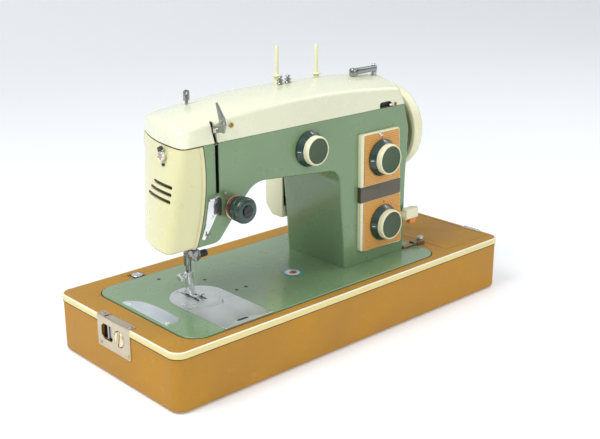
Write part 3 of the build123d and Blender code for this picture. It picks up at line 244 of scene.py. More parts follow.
GREEN = (0.178, 0.285, 0.140)
CREAM = (0.78, 0.79, 0.58)
RECIPES = (
    (leatherette, "tan_leatherette", (0.50, 0.245, 0.022), (0.32, 0.140, 0.010), (0.60, 0.35, 0.09)),
    (leatherette, "deck_leatherette", (0.46, 0.235, 0.028), (0.28, 0.130, 0.012), (0.55, 0.33, 0.10)),
    (moulded, "cream_trim", (0.80, 0.68, 0.30)),
    (moulded, "foot_rubber", (0.02, 0.02, 0.02), 0.7, 0.12, 0),
    (metal, "plated_steel", (0.80, 0.80, 0.80), 0.16),
    (metal, "bright_steel", (0.42, 0.42, 0.41), 0.28),
    (metal, "ground_steel", (0.58, 0.58, 0.57), 0.25, (1, 1, 25)),
    (moulded, "tray_board", (0.10, 0.055, 0.025), 0.7, 0.12, 0),
    (enamel, "green_enamel", GREEN),
    (enamel, "cream_enamel", CREAM, 0.26, 0.7, 0.03, 0.00002),
    (enamel, "aged_cream", (0.72, 0.69, 0.38), 0.28, 0.7, 0.05, 0.00002, 0.06),
    (moulded, "cream_plastic", (0.80, 0.78, 0.54), 0.3, 0.06),
    (moulded, "lamp_glass", (0.85, 0.82, 0.72), 0.15),
    (metal, "bronze", (0.50, 0.33, 0.14), 0.3),
    (moulded, "black_rubber", (0.02, 0.02, 0.02), 0.65, 0.12, 0),
    (enamel, "black_enamel", (0.012, 0.012, 0.012), 0.5, 0.1),
    (moulded, "black_plastic", (0.02, 0.02, 0.022), 0.45),
    (ribbed, "orange_panel", (0.72, 0.36, 0.085)),
    (moulded, "green_plastic", (0.012, 0.040, 0.028), 0.18, 0.0, 0.6),
    (metal, "latch_bronze", (0.34, 0.25, 0.16), 0.3),
    (metal, "brushed_plate", (0.82, 0.85, 0.83), 0.36, (40, 1, 1)),
    (metal, "mirror_plate", (0.86, 0.86, 0.86), 0.08),
    # Bright steel with a pale blue tint: painted reflection of the pale surroundings.
    (metal, "end_plate", (0.88, 0.94, 0.97), 0.38, (1, 40, 1)),
    (metal, "rose_brass", (0.72, 0.45, 0.33), 0.2),
    (metal, "grey_band", (0.17, 0.15, 0.12), 0.4, (1, 1, 40)),
    (moulded, "ivory_bead", (0.86, 0.85, 0.74), 0.24, 0.05),
    (metal, "warm_nickel", (0.64, 0.56, 0.42), 0.28),
    (metal, "cam_brass", (0.86, 0.76, 0.54), 0.3),
    (metal, "dark_chrome", (0.34, 0.35, 0.34), 0.16),
    (enamel, "matt_green", (0.055, 0.090, 0.045), 0.6, 0.05),
    (moulded, "white_mark", (0.85, 0.85, 0.80), 0.4),
    (moulded, "red_mark", (0.60, 0.05, 0.02), 0.4, 0),
    (moulded, "orange_plastic", (0.75, 0.26, 0.05), 0.35, 0.05),
    # Olive colour for painted shade on the handwheel's dish.
    (moulded, "olive_dish", (0.46, 0.46, 0.20), 0.4),
    (moulded, "tan_button", (0.50, 0.33, 0.15)),
    (moulded, "badge_blue", (0.03, 0.30, 0.48), 0.25, 0.02),
    (moulded, "badge_white", (0.80, 0.80, 0.76), 0.25, 0.1),
    (moulded, "badge_red", (0.55, 0.05, 0.03), 0.25, 0.02),
)
mats = {name: make(name, *values) for make, name, *values in RECIPES}
slots = {s["node"]: s["material_slot"] for s in frame["record"]["subparts"]}
for name, node in nodes.items():
    node.data.materials.clear()
    node.data.materials.append(mats[slots[name]])


# ------------------------------------------------------------------ mesh building, in millimetres
FRONT, BACK, LEFT, RIGHT, UP = (0, -1, 0), (0, 1, 0), (-1, 0, 0), (1, 0, 0), (0, 0, 1)


def basis(axis):
    """Two directions square to axis, and the axis. A front face gets x and z, a left face -y and z."""
    ahead = Vector(axis).normalized()
    side = Vector((0, 0, 1)) if abs(ahead.z) < 0.9 else Vector((0, 1, 0))
    first = side.cross(ahead).normalized()
    return first, ahead.cross(first), ahead


def lathe(bm, profile, start, axis, steps=48):
    """Turns (radius, distance along axis) pairs about the axis through start."""
    u, v, ahead = basis(axis)
    rings = []
    for radius, along in profile:
        middle = Vector(start) + ahead * along
        if radius < 1e-6:
            rings.append([bm.verts.new(middle)])
            continue
        turns = [2 * pi * i / steps for i in range(steps)]
        rings.append([bm.verts.new(middle + radius * (u * cos(t) + v * sin(t))) for t in turns])
    for a, b in zip(rings, rings[1:]):
        for i in range(steps):
            j = (i + 1) % steps
            corners = {a[i % len(a)]: 0, a[j % len(a)]: 0, b[j % len(b)]: 0, b[i % len(b)]: 0}
            if len(corners) > 2:
                bm.faces.new(list(corners))


def arc(middle, radius, start, end, steps=8):
    """Points on a circle between two angles in degrees."""
    angles = [radians(start + (end - start) * i / steps) for i in range(steps + 1)]
    return [(middle[0] + radius * cos(a), middle[1] + radius * sin(a)) for a in angles]


def rounded(points, radius, closed=True, steps=6):
    """An outline with its corners rounded by one radius, or by a list of them."""
    count, out = len(points), []
    for i, point in enumerate(points):
        r = radius[i] if isinstance(radius, (list, tuple)) else radius
        if r <= 0 or (not closed and i in (0, count - 1)):
            out.append(tuple(point))
            continue
        here = Vector(point)
        back, on = Vector(points[i - 1]) - here, Vector(points[(i + 1) % count]) - here
        half = back.angle(on) / 2
        run = min(r / tan(half), 0.49 * back.length, 0.49 * on.length)
        r = run * tan(half)
        back.normalize(), on.normalize()
        middle = here + (back + on).normalized() * hypot(run, r)
        first, last = here + back * run - middle, here + on * run - middle
        turn = first.angle_signed(last)
        for k in range(steps + 1):
            ray = first.copy()
            ray.rotate(Matrix.Rotation(-turn * k / steps, 2))
            out.append(tuple(middle + ray))
    return out


def box_outline(xs, ys, radius=0.0, steps=6):
    return rounded([(xs[0], ys[0]), (xs[1], ys[0]), (xs[1], ys[1]), (xs[0], ys[1])], radius, steps=steps)


def circle(middle, radius, steps=32):
    return arc(middle, radius, 0, 360 - 360 / steps, steps - 1)


def stadium(middle, length, width):
    """A slot shape with round ends."""
    half = (length - width) / 2
    ends = arc((half, 0), width / 2, -90, 90) + arc((-half, 0), width / 2, 90, 270)
    return [(middle[0] + x, middle[1] + y) for x, y in ends]


def area(loop):
    return sum(a[0] * b[1] - b[0] * a[1] for a, b in zip(loop, loop[1:] + loop[:1])) / 2


def inward(loop):
    """The mitred direction to the left of a closed loop at each point."""
    out = []
    for i, here in enumerate(loop):
        a = (Vector(here) - Vector(loop[i - 1])).normalized()
        b = (Vector(loop[(i + 1) % len(loop)]) - Vector(here)).normalized()
        left = Vector((-a.y - b.y, a.x + b.x))
        left = left.normalized() if left.length > 1e-6 else Vector((-a.y, a.x))
        out.append(left / max(0.5, left.dot(Vector((-a.y, a.x)))))
    return out


def slab(bm, loops, low, high, soft=0.0, start=(0, 0, 0), axis=UP, soft_low=0.0):
    """A plate through the first loop, with the others as holes, and edges rounded by soft."""
    u, v, ahead = basis(axis)
    levels = [(soft_low * (1 - cos(a)), low + soft_low * (1 - sin(a))) for a in (pi / 2, pi / 4, 0)] \
        if soft_low else [(0, low)]
    levels += [(soft * (1 - cos(a)), high - soft * (1 - sin(a))) for a in (0, pi / 6, pi / 3, pi / 2)] \
        if soft else [(0, high)]
    rims = [[], []]
    for number, loop in enumerate(loops):
        if (area(loop) > 0) != (number == 0):
            loop = loop[::-1]
        side = inward(loop)
        rings = []
        for inset, along in levels:
            points = [Vector(p) + s * inset for p, s in zip(loop, side)]
            rings.append([bm.verts.new(Vector(start) + u * p.x + v * p.y + ahead * along) for p in points])
        for a, b in zip(rings, rings[1:]):
            for i in range(len(a)):
                j = (i + 1) % len(a)
                bm.faces.new((a[i], a[j], b[j], b[i]))
        for rim, ring in zip(rims, (rings[0], rings[-1])):
            rim.append(ring)
    for rim in rims:
        if len(rim) == 1:
            bm.faces.new(rim[0])
            continue
        edges = [bm.edges.get((r[i], r[(i + 1) % len(r)])) for r in rim for i in range(len(r))]
        bmesh.ops.triangle_fill(bm, use_beauty=True, edges=edges)


def sweep(bm, path, profile, closed=True):
    """Runs a closed (outset, height) profile along a level path; outset is to the path's right."""
    if closed and area(path) < 0:
        path = path[::-1]
    side = inward(path)
    if not closed:
        for i, run in ((0, Vector(path[1]) - Vector(path[0])), (-1, Vector(path[-1]) - Vector(path[-2]))):
            side[i] = Vector((-run.y, run.x)).normalized()
    rings = []
    for point, left in zip(path, side):
        ring = [(point[0] - left.x * out, point[1] - left.y * out, up) for out, up in profile]
        rings.append([bm.verts.new(p) for p in ring])
    pairs = list(zip(rings, rings[1:] + rings[:1])) if closed else list(zip(rings, rings[1:]))
    for a, b in pairs:
        for i in range(len(profile)):
            j = (i + 1) % len(profile)
            bm.faces.new((a[i], a[j], b[j], b[i]))
    if not closed:
        bm.faces.new(rings[0])
        bm.faces.new(rings[-1][::-1])


def tube(bm, path, radius, steps=12):
    """A round wire along points in space; radius is one number or one for each point."""
    points = [Vector(p) for p in path]
    rings, side = [], None
    for i, point in enumerate(points):
        ahead = (points[min(i + 1, len(points) - 1)] - points[max(i - 1, 0)]).normalized()
        side = (side - ahead * side.dot(ahead)).normalized() if side else basis(ahead)[0]
        other = ahead.cross(side)
        r = radius[i] if isinstance(radius, (list, tuple)) else radius
        turns = [2 * pi * k / steps for k in range(steps)]
        rings.append([bm.verts.new(point + r * (side * cos(t) + other * sin(t))) for t in turns])
    for a, b in zip(rings, rings[1:]):
        for i in range(steps):
            j = (i + 1) % steps
            bm.faces.new((a[i], a[j], b[j], b[i]))
    bm.faces.new(rings[0][::-1])
    bm.faces.new(rings[-1])


def screw(bm, centre, axis, radius, height, turn=20.0, slot=0.18):
    """A slotted screw head standing on a surface: two halves of a soft-edged disc on a base."""
    half = radius * slot / 2
    lean = degrees(atan2(half, radius))
    for side in (0, 180):
        shape = arc((0, 0), radius, lean + side, 180 - lean + side, 16)
        c, s = cos(radians(turn)), sin(radians(turn))
        shape = [(x * c - y * s, x * s + y * c) for x, y in shape]
        slab(bm, [shape], 0, height, min(0.35 * height, 0.3 * radius), centre, axis)
    lathe(bm, [(0, 0), (radius * 0.985, 0), (radius * 0.985, height * 0.45), (0, height * 0.45)], centre,
          axis)


def place(name, bm, slot, body, replaces=(), material=None, angle=35):
    """Turns a finished bmesh in millimetres into a piece that rides on a body."""
    bmesh.ops.recalc_face_normals(bm, faces=bm.faces)
    mesh = bpy.data.meshes.new(name)
    bm.to_mesh(mesh)
    bm.free()
    mesh.transform(Matrix.Scale(MM, 4))
    mesh.shade_smooth()
    mesh.set_sharp_from_angle(angle=radians(angle))
    piece = bpy.data.objects.new(name, mesh)
    bpy.context.scene.collection.objects.link(piece)
    mesh.materials.append(material or mats[slot])
    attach(piece, body)
    if replaces:
        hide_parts(*replaces)
    return piece


def bake(piece):
    """Applies a piece's modifiers to its mesh."""
    graph = bpy.context.evaluated_depsgraph_get()
    mesh = bpy.data.meshes.new_from_object(piece.evaluated_get(graph), depsgraph=graph)
    piece.modifiers.clear()
    piece.data = mesh


def cut(piece, tool_bm, thick=0.0, angle=35):
    """Gives a sheet its thickness in millimetres, then takes the tool's shape out of it."""
    if thick:
        shell = piece.modifiers.new("shell", "SOLIDIFY")
        shell.thickness, shell.offset, shell.use_even_offset = thick * MM, -1, True
    bmesh.ops.recalc_face_normals(tool_bm, faces=tool_bm.faces)
    mesh = bpy.data.meshes.new("tool")
    tool_bm.to_mesh(mesh)
    tool_bm.free()
    mesh.transform(Matrix.Scale(MM, 4))
    tool = bpy.data.objects.new("tool", mesh)
    bpy.context.scene.collection.objects.link(tool)
    hole = piece.modifiers.new("hole", "BOOLEAN")
    hole.operation, hole.solver, hole.object = "DIFFERENCE", "EXACT", tool
    bake(piece)
    bpy.data.objects.remove(tool)
    piece.data.shade_smooth()
    piece.data.set_sharp_from_angle(angle=radians(angle))


def softened(name, width=0.4, steps=2, material=None):
    """A copy of a CAD node with its sharp edges rounded, shown in the node's place."""
    node = nodes[name]
    bm = bmesh.new()
    bm.from_mesh(node.data)
    bmesh.ops.remove_doubles(bm, verts=bm.verts, dist=0.00001)
    bmesh.ops.dissolve_limit(bm, angle_limit=radians(0.6), verts=bm.verts, edges=bm.edges)
    edges = [e for e in bm.edges if len(e.link_faces) == 2 and e.calc_face_angle(0) > radians(38)]
    bmesh.ops.bevel(bm, geom=edges, offset=width * MM, segments=steps, profile=0.5, affect="EDGES",
                    clamp_overlap=True)
    bmesh.ops.scale(bm, vec=(1 / MM, 1 / MM, 1 / MM), verts=bm.verts)
    return place(name + "_soft", bm, slots[name], node["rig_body"], (name,), material)


# ------------------------------------------------------------------ places taken from the frame
def spans(node):
    """The low and high ends of a CAD node along x, y and z, in millimetres."""
    low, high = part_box(node)
    return [(a / MM, b / MM) for a, b in zip(low, high)]


WALL_X, WALL_Y, WALL_Z = spans("case_walls")
DECK_Z = spans("case_deck")[2]
TRIM_Z = spans("case_trim")[2]
BED_X, BED_Y = spans("bed_casting")[:2]
BED_TOP = spans("bed_casting")[2][1]
LOCK_X, LOCK_Y, LOCK_Z = spans("lock_plate")
CAM_Y, CAM_Z = (sum(s) / 2 for s in spans("lock_cam")[1:])
LID_X, LID_PINS = spans("compartment_lid")[:2]
LID_Y = (LID_PINS[0] + 3, LID_PINS[1] - 3)
LID_Z = (DECK_Z[1] - 3, DECK_Z[1])
LATCH = (spans("bed_latch")[0][1] - 5.5, sum(spans("bed_latch")[1]) / 2)
HINGE_XS = [spans("bed_hinges")[0][0] + 9.2, spans("bed_hinges")[0][1] - 9.2]
ARM_Y = spans("arm_casting")[1]
HEAD_FRONT, HEAD_BACK = spans("top_cover")[1]
COVER_LOW = spans("top_cover")[2][0]
HEAD_LOW, PARTING = spans("face_cover")[2]
NOSE_LOW, NOSE_HIGH = spans("face_cover")[0][0], spans("top_cover")[0][0]
COVER_RIGHT = spans("top_cover")[0][1]
PLATE_X, PLATE_Y, PLATE_Z = spans("needle_plate")
SLIDE_Y = spans("slide_plate")[1]
NEEDLE = [sum(s) / 2 for s in spans("needle_bar")[:2]]
PANEL_FRONT = spans("dial_panel")[1][0]
SHAFT = [sum(s) / 2 for s in spans("main_shaft")[1:]]
WHEEL_X = spans("handwheel")[0]
TENSION = [sum(spans("tension_knob")[i]) / 2 for i in (0, 2)]
CATCH = [sum(s) / 2 for s in spans("face_catch")[1:]]
CORNER = 13
MIDDLE_Y = (HEAD_FRONT + HEAD_BACK) / 2


# ------------------------------------------------------------------ case
def case():
    """The case base: covered walls, the deck with its openings, and the trim round its edge."""
    bm = bmesh.new()
    outline = box_outline(WALL_X, WALL_Y, CORNER, 10)
    low, high = WALL_Z
    profile = [(0, high), (0, low + 3)] + [(-3 + x, low + 3 - y) for x, y in arc((0, 0), 3, 15, 90, 4)]
    sweep(bm, outline, [*profile, (-7, low), (-7, high)])
    shell = place("case_shell", bm, "tan_leatherette", "case", ("case_walls",))
    pocket = bmesh.new()
    slab(pocket, [box_outline((WALL_X[0] - 2, WALL_X[0] + 5), (-21, 24))], 40, 60)
    cut(shell, pocket)

    bm = bmesh.new()
    slab(bm, [box_outline((WALL_X[0] + 6.9, WALL_X[1] - 6.9), (WALL_Y[0] + 6.9, WALL_Y[1] - 6.9), 6)], low,
         low + 5)
    for x in (BED_X[0] + 12, BED_X[1] - 12):
        for y in (BED_Y[0] + 12, BED_Y[1] - 12):
            slab(bm, [box_outline((x - 10, x + 10), (y - 10, y + 10), 1.5)], low + 5, 51.7, 1)
    place("case_inside", bm, "tray_board", "case")

    gap, notch = 1, 9.6
    near, far, left, right = BED_Y[0] - gap, BED_Y[1] + gap, BED_X[0] - gap, BED_X[1] + gap
    hole, soft = [(left, near), (right, near), (right, far)], [23, 23, 23]
    for x in reversed(HINGE_XS):
        hole += [(x + notch, far), (x + notch, far + 15.5), (x - notch, far + 15.5), (x - notch, far)]
        soft += [1, 2, 2, 1]
    hole, soft = hole + [(left, far)], soft + [23]
    bm = bmesh.new()
    lid_hole = box_outline((LID_X[0] - 0.5, LID_X[1] + 0.3), (LID_Y[0] - 0.5, LID_Y[1] + 0.5), 0.6)
    slab(bm, [outline, rounded(hole, soft), lid_hole, circle(LATCH, 2.1)], *DECK_Z, 1.1)
    place("deck", bm, "deck_leatherette", "case", ("case_deck",))

    bm = bmesh.new()
    bed = box_outline((left + 0.05, right - 0.05), (near + 0.05, far - 0.05), 22.9, 10)
    sweep(bm, bed, [(0, DECK_Z[0]), (0, DECK_Z[1] - 0.6), (-0.8, DECK_Z[1] - 0.6), (-0.8, DECK_Z[0])])
    place("bed_gasket", bm, "black_rubber", "case")

    catches = spans("hood_catches")[1]
    wide = 26
    x0, x1, y0, y1 = *WALL_X, *WALL_Y
    paths = ([(x0, LOCK_Y[0]), (x0, y0), (x1, y0), (x1, catches[0])], [(x1, catches[0] + wide),
                                                                       (x1, catches[1] - wide)],
             [(x1, catches[1]), (x1, y1), (x0, y1), (x0, LOCK_Y[1])],)
    low, high = TRIM_Z
    band = [(-0.2, low), (0.7, low), (1.0, low + 0.4), (1.15, (low + high) / 2), (1.0, high - 0.6),
            (0.6, high), (-0.2, high)]
    bead = [(x, y + DECK_Z[1] + 0.1) for x, y in circle((-0.3, -1.3), 1.25, 12)]
    welt = [(x, y + low - 0.5) for x, y in circle((0.2, 0), 0.6, 8)]
    for name, profile, slot, stands in (
        ("trim_band", band, "cream_trim", ("case_trim",)),
        ("trim_bead", bead, "cream_trim", ()),
        ("trim_welt", welt, "tray_board", ()),
    ):
        bm = bmesh.new()
        for path in paths:
            sweep(bm, rounded(path, CORNER, False, 10), profile, False)
        place(name, bm, slot, "case", stands, mats["ivory_bead"] if name == "trim_bead" else None)


def lock():
    """The lock on the left end: a folded plate with a cam, a hooked opening and four screws."""
    bm = bmesh.new()
    low = LOCK_Z[0] - 4
    mouth = rounded([(22, 46), (22, 55), (17, 59), (4, 59), (1.5, 56), (1.5, 44), (4, 42), (17, 42)], 1.2)
    slab(bm, [box_outline(LOCK_Y, (low, DECK_Z[1] + 0.7), 2.5), mouth, circle((CAM_Y, CAM_Z), 9)], 0, 1.2,
         0, (LOCK_X[0], 0, 0), RIGHT, 0.5)
    flange = spans("lock_plate")[0]
    slot = stadium((flange[1] - 5, 15.5), 9, 3.2)
    slab(bm, [box_outline(flange, LOCK_Y, 1.5), slot], DECK_Z[1], DECK_Z[1] + 0.9, 0.35)
    for y in (LOCK_Y[0] + 5, LOCK_Y[1] - 5):
        screw(bm, (flange[0] + 5, y, DECK_Z[1] + 0.8), UP, 2.7, 1, 35 + y)
        screw(bm, (LOCK_X[0], y, low + 4.5), LEFT, 2.7, 1, 60 + y)
    place("lock_case", bm, "plated_steel", "case", ("lock_plate",), mats["warm_nickel"])
    # Black sheets at the back of the lock pocket and under the flange slot: painted shade in these
    # recesses.
    bm = bmesh.new()
    slab(bm, [box_outline((WALL_X[0] + 4.2, WALL_X[0] + 5), (-21, 24))], 40, 60)
    slab(bm, [box_outline((flange[1] - 8, flange[1] - 3), (10, 21))], DECK_Z[1] - 0.1, DECK_Z[1] + 0.15)
    place("lock_painted_shade", bm, "black_enamel", "case")
    bm = bmesh.new()
    tube(bm, [(WALL_X[0] + 2, 12, 40), (WALL_X[0] + 2, 12, 60)], 1.5)
    slab(bm, [box_outline((3, 9), (44, 56), 1)], 1.5, 3, 0.3, (WALL_X[0], 0, 0), RIGHT, 0.3)
    place("lock_post", bm, "bright_steel", "case")
    bm = bmesh.new()
    screw(bm, (WALL_X[0] + 2.5, CAM_Y, CAM_Z), LEFT, 8.4, 4.4, 80, 0.2)
    lathe(bm, [(0, 0), (8.2, 0), (8.2, 2.2), (0, 2.2)], (WALL_X[0] + 4.4, CAM_Y, CAM_Z), LEFT)
    place("lock_barrel", bm, "plated_steel", "lock_cam", ("lock_cam",), mats["cam_brass"])


def lid():
    """The compartment lid, with its two pins and a finger dip."""
    bm = bmesh.new()
    slab(bm, [box_outline(LID_X, LID_Y, 1.2)], *LID_Z, 0.9, soft_low=0.6)
    for y, axis in ((LID_Y[0], FRONT), (LID_Y[1], BACK)):
        lathe(bm, [(0, -0.5), (0.8, -0.5), (0.8, 2.8), (0.6, 3), (0, 3)],
              (LID_X[1] - 1.5, y, LID_Z[1] - 1.5), axis, 16)
    board = place("lid_board", bm, "deck_leatherette", "compartment_lid", ("compartment_lid",))
    dip = bmesh.new()
    lathe(dip, [(0, 0), (7, 0), (9, 1.2), (9.5, 3), (0, 3)], (LID_X[0] + 10, 0, LID_Z[1] - 1.2), UP)
    cut(board, dip)


def deck_metal():
    """Hinge caps, the swivelling latch and the catch it holds."""
    bm = bmesh.new()
    for x in HINGE_XS:
        lathe(bm, [(0, -1), (6.4, -1), (6.4, 0.3), (6.1, 0.6), (5.2, 0.7), (5.0, 0.5), (0, 0.55)],
              (x, 92, DECK_Z[1]), UP)
    place("hinge_caps", bm, "plated_steel", "case")
    bm = bmesh.new()
    low, high = spans("bed_latch")[2]
    left = spans("bed_latch")[0][0]
    shape = arc(LATCH, 5.5, -125, 125, 20) + [(left + 1, LATCH[1] + 4), (left, LATCH[1] + 3),
                                              (left, LATCH[1] - 3), (left + 1, LATCH[1] - 4)]
    slab(bm, [shape, circle(LATCH, 2.1)], low, high - 1.2, 0.8)
    lathe(bm, [(2.1, high - 1.5), (5.2, high - 1.5), (5.0, high - 0.5), (4.2, high), (2.1, high)],
          (*LATCH, 0), UP)
    place("latch_bar", bm, "bright_steel", "bed_latch", ("bed_latch",), mats["latch_bronze"])
    bm = bmesh.new()
    screw(bm, (*LATCH, high + 0.1), UP, 4.2, 2.2, 25)
    lathe(bm, [(0, DECK_Z[0]), (2, DECK_Z[0]), (2, high + 0.2), (0, high + 0.2)], (*LATCH, 0), UP, 24)
    place("latch_screw", bm, "plated_steel", "case")
    catch = spans("bed_catch")
    y = sum(catch[1]) / 2
    bm = bmesh.new()
    slab(bm, [rounded([(catch[0][0] - 4, y - 3), (catch[0][1] - 5, y - 3.4), (catch[0][1], y - 4.5),
                       (catch[0][1], y + 4.5), (catch[0][1] - 5, y + 3.4), (catch[0][0] - 4, y + 3)],
                      [3, 2, 1, 1, 2, 3])], BED_TOP, BED_TOP + 3.2, 0.8)
    slab(bm, [box_outline((catch[0][1] - 5.5, catch[0][1]), (y - 4.5, y + 4.5), 1)], BED_TOP + 2,
         catch[2][1], 0.8)
    place("latch_keeper", bm, "bright_steel", "head", ("bed_catch",), mats["latch_bronze"])
    softened("hood_catches", 0.3)
    bm = bmesh.new()
    x, (low, high) = spans("hood_catches")[0][1], spans("hood_catches")[2]
    for y in (-65, 65):
        for side in (-9.5, 9.5):
            screw(bm, (x, y + side, low + 5), RIGHT, 2.5, 1, 40 + side * 9)
            screw(bm, (x - 3.2, y + side, high), UP, 2.1, 0.8, 10 + side * 11)
    place("catch_screws", bm, "plated_steel", "case")


# ------------------------------------------------------------------ bed
def bed_fittings():
    """Needle plate, slide plate, end plate, oil holes and a plain round badge."""
    bm = bmesh.new()
    middle, reach = sum(PLATE_X) / 2, (PLATE_X[1] - PLATE_X[0]) / 2
    arch_y, joint = PLATE_Y[1] - reach, -33
    crown = arc((middle, arch_y), reach, 0, 180, 40)
    tongue = [(-166, joint), (-160, PLATE_Y[0]), (-141, PLATE_Y[0]), (-135, joint)]
    edge = [(PLATE_X[0], joint), *rounded(tongue, 1.5, False, 3), (PLATE_X[1], joint)]
    feed = ((-155.8, (-19.5, 13)), (NEEDLE[0], (-1, 13.7)), (-146.6, (-20.2, 13)))
    slots = [box_outline((x - 1.3, x + 1.3), ys, 0.6, 3) for x, ys in feed]
    dots = [circle(p, 0.9, 12) for p in ((-134.9, -28.2), (-166, -24))]
    slab(bm, [crown + edge, *slots, circle(NEEDLE, 1.2, 16), *dots], *PLATE_Z, 0.25)
    place("stitch_plate", bm, "plated_steel", "head", ("needle_plate",), mats["brushed_plate"])

    bm = bmesh.new()
    gap, front = 0.4, SLIDE_Y[0]
    notch = [(PLATE_X[1], joint - gap), (-135 + gap, joint - gap), (-141 + gap, PLATE_Y[0] - gap),
             (-160 - gap, PLATE_Y[0] - gap), (-166 - gap, joint - gap), (PLATE_X[0], joint - gap)]
    nail = stadium((middle - 2.5, front + 8.5), 15, 4.4)
    slab(bm, [notch + rounded([(PLATE_X[0], front), (PLATE_X[1], front)], 0), nail], *PLATE_Z, 0.25)
    slab(bm, [box_outline((PLATE_X[0] + 0.1, PLATE_X[1] - 0.1), (front - 0.2, front + 2.2), 0.6)],
         PLATE_Z[1] - 0.4, PLATE_Z[1] + 0.7, 0.5)
    place("sliding_plate", bm, "plated_steel", "slide_plate", ("slide_plate",), mats["brushed_plate"])
    # A black sheet under the finger slot: painted shade below the slide plate.
    bm = bmesh.new()
    slab(bm, [box_outline((middle - 11, middle + 6), (front + 6, front + 11))], PLATE_Z[0] + 0.15,
         PLATE_Z[0] + 0.45)
    place("nail_recess_painted_shade", bm, "black_enamel", "slide_plate")

    bm = bmesh.new()
    for x, y, turn in ((-159.3, 16.5, 15), (-173, -14.5, 70), (-140.5, 16.5, 40), (-127, -14.5, 110)):
        screw(bm, (x, y, PLATE_Z[1] - 0.2), UP, 2.9, 0.5, turn, 0.22)
    place("plate_screws", bm, "plated_steel", "head")

    # Each oil hole is a flat black disc: painted shade standing for the hole's depth.
    bm = bmesh.new()
    for x, y in ((-150.8, 61.9), (-114, 25.8), (-106.4, -21.7), (-92.8, -21.6)):
        lathe(bm, [(0, -0.2), (2.1, -0.2), (2.1, 0.12), (1.7, 0.2), (1.2, 0.02), (0, 0.02)],
              (x, y, BED_TOP), UP, 24)
    place("oil_holes_painted_shade", bm, "black_enamel", "head")

    shape = [(-207, -49)] + [(-203.4, -48.4), (-201, -46), (-199.6, -42.5), (-198.6, -30), (-198.2, -14),
                             (-198.9, 0), (-200.6, 12), (-203, 20), (-207, 26.5), (-213, 31.5),
                             (-219.5, 34), (-219.5, -49)]
    bm = bmesh.new()
    top = spans("end_cover_plate")[2][1]
    slab(bm, [rounded(shape, [2] + [6] * 10 + [2, 2])], BED_TOP, top, 0.35)
    for x, y, turn in ((-214.5, 24.6, 30), (-214.5, -43, 80)):
        screw(bm, (x, y, top - 0.1), UP, 2.6, 0.8, turn)
    # The end plate's pale blue tint is painted reflection.
    place("end_plate", bm, "plated_steel", "head", ("end_cover_plate",), mats["end_plate"])

    badge = (-26, -25)
    for name, slot, material, radius, low, high in (
        ("badge_rim", "green_plastic", "badge_blue", 11.6, 0, 0.20),
        ("badge_field", "cream_plastic", "badge_white", 8.6, 0.1, 0.26),
        ("badge_spot", "orange_panel", "badge_red", 4.6, 0.2, 0.32),
    ):
        bm = bmesh.new()
        slab(bm, [circle(badge, radius, 48)], BED_TOP + low, BED_TOP + high, 0.08)
        place(name, bm, slot, "head", (), mats[material])


# ------------------------------------------------------------------ head covers
CREST_X, CREST, CROWN, RIGHT_RISE = -30, 275, 6, 6
LEAN = {"nose": 2.4, "front": 5.5, "back": 5.5, "right": 0.5}
TURN = {"nose": 12, "front": 7, "back": 7, "right": 4}
STEPS_LONG, STEPS_CORNER, STEPS_ACROSS = 44, 8, 20


def nose_plan(nose, sweep, front, back, right, corner=8.0, rear=10.0, right_corner=1.0):
    """The head from above as four runs: front side, nose end, back side and right end."""
    side = (nose + sweep, front + corner)
    rise = back - rear - side[1]
    heel = (side[0] - sqrt((sweep - rear) ** 2 - rise ** 2), back - rear)
    turn = 180 - degrees(atan2(rise, side[0] - heel[0]))
    r = right_corner
    ahead = arc((right - r, front + r), r, 0, -90, 4)
    behind = arc((right - r, back - r), r, 0, 90, 4)
    a, b = right - r, nose + corner
    ahead += [(a + (b - a) * i / STEPS_LONG, front) for i in range(1, STEPS_LONG)]
    ahead += arc((b, front + corner), corner, 270, 180, STEPS_CORNER)
    b = heel[0]
    behind += [(a + (b - a) * i / STEPS_LONG, back) for i in range(1, STEPS_LONG)]
    behind += arc(heel, rear, 90, turn, STEPS_CORNER)
    end = arc(side, sweep, 180, turn, STEPS_ACROSS)
    low, high = front + r, back - r
    start = [(right, low + (high - low) * i / STEPS_ACROSS) for i in range(STEPS_ACROSS + 1)]
    return ahead, end, behind, start


def hood_top(x, y):
    """Height of the top cover's crown."""
    fall = 13 if x < CREST_X else 12
    crown = CROWN + RIGHT_RISE * max(0, min(1, (x - CREST_X) / 150))
    across = (y - MIDDLE_Y) / (HEAD_BACK - MIDDLE_Y - LEAN["front"])
    return CREST - fall * ((x - CREST_X) / 160) ** 2 + crown * (1 - across ** 2)


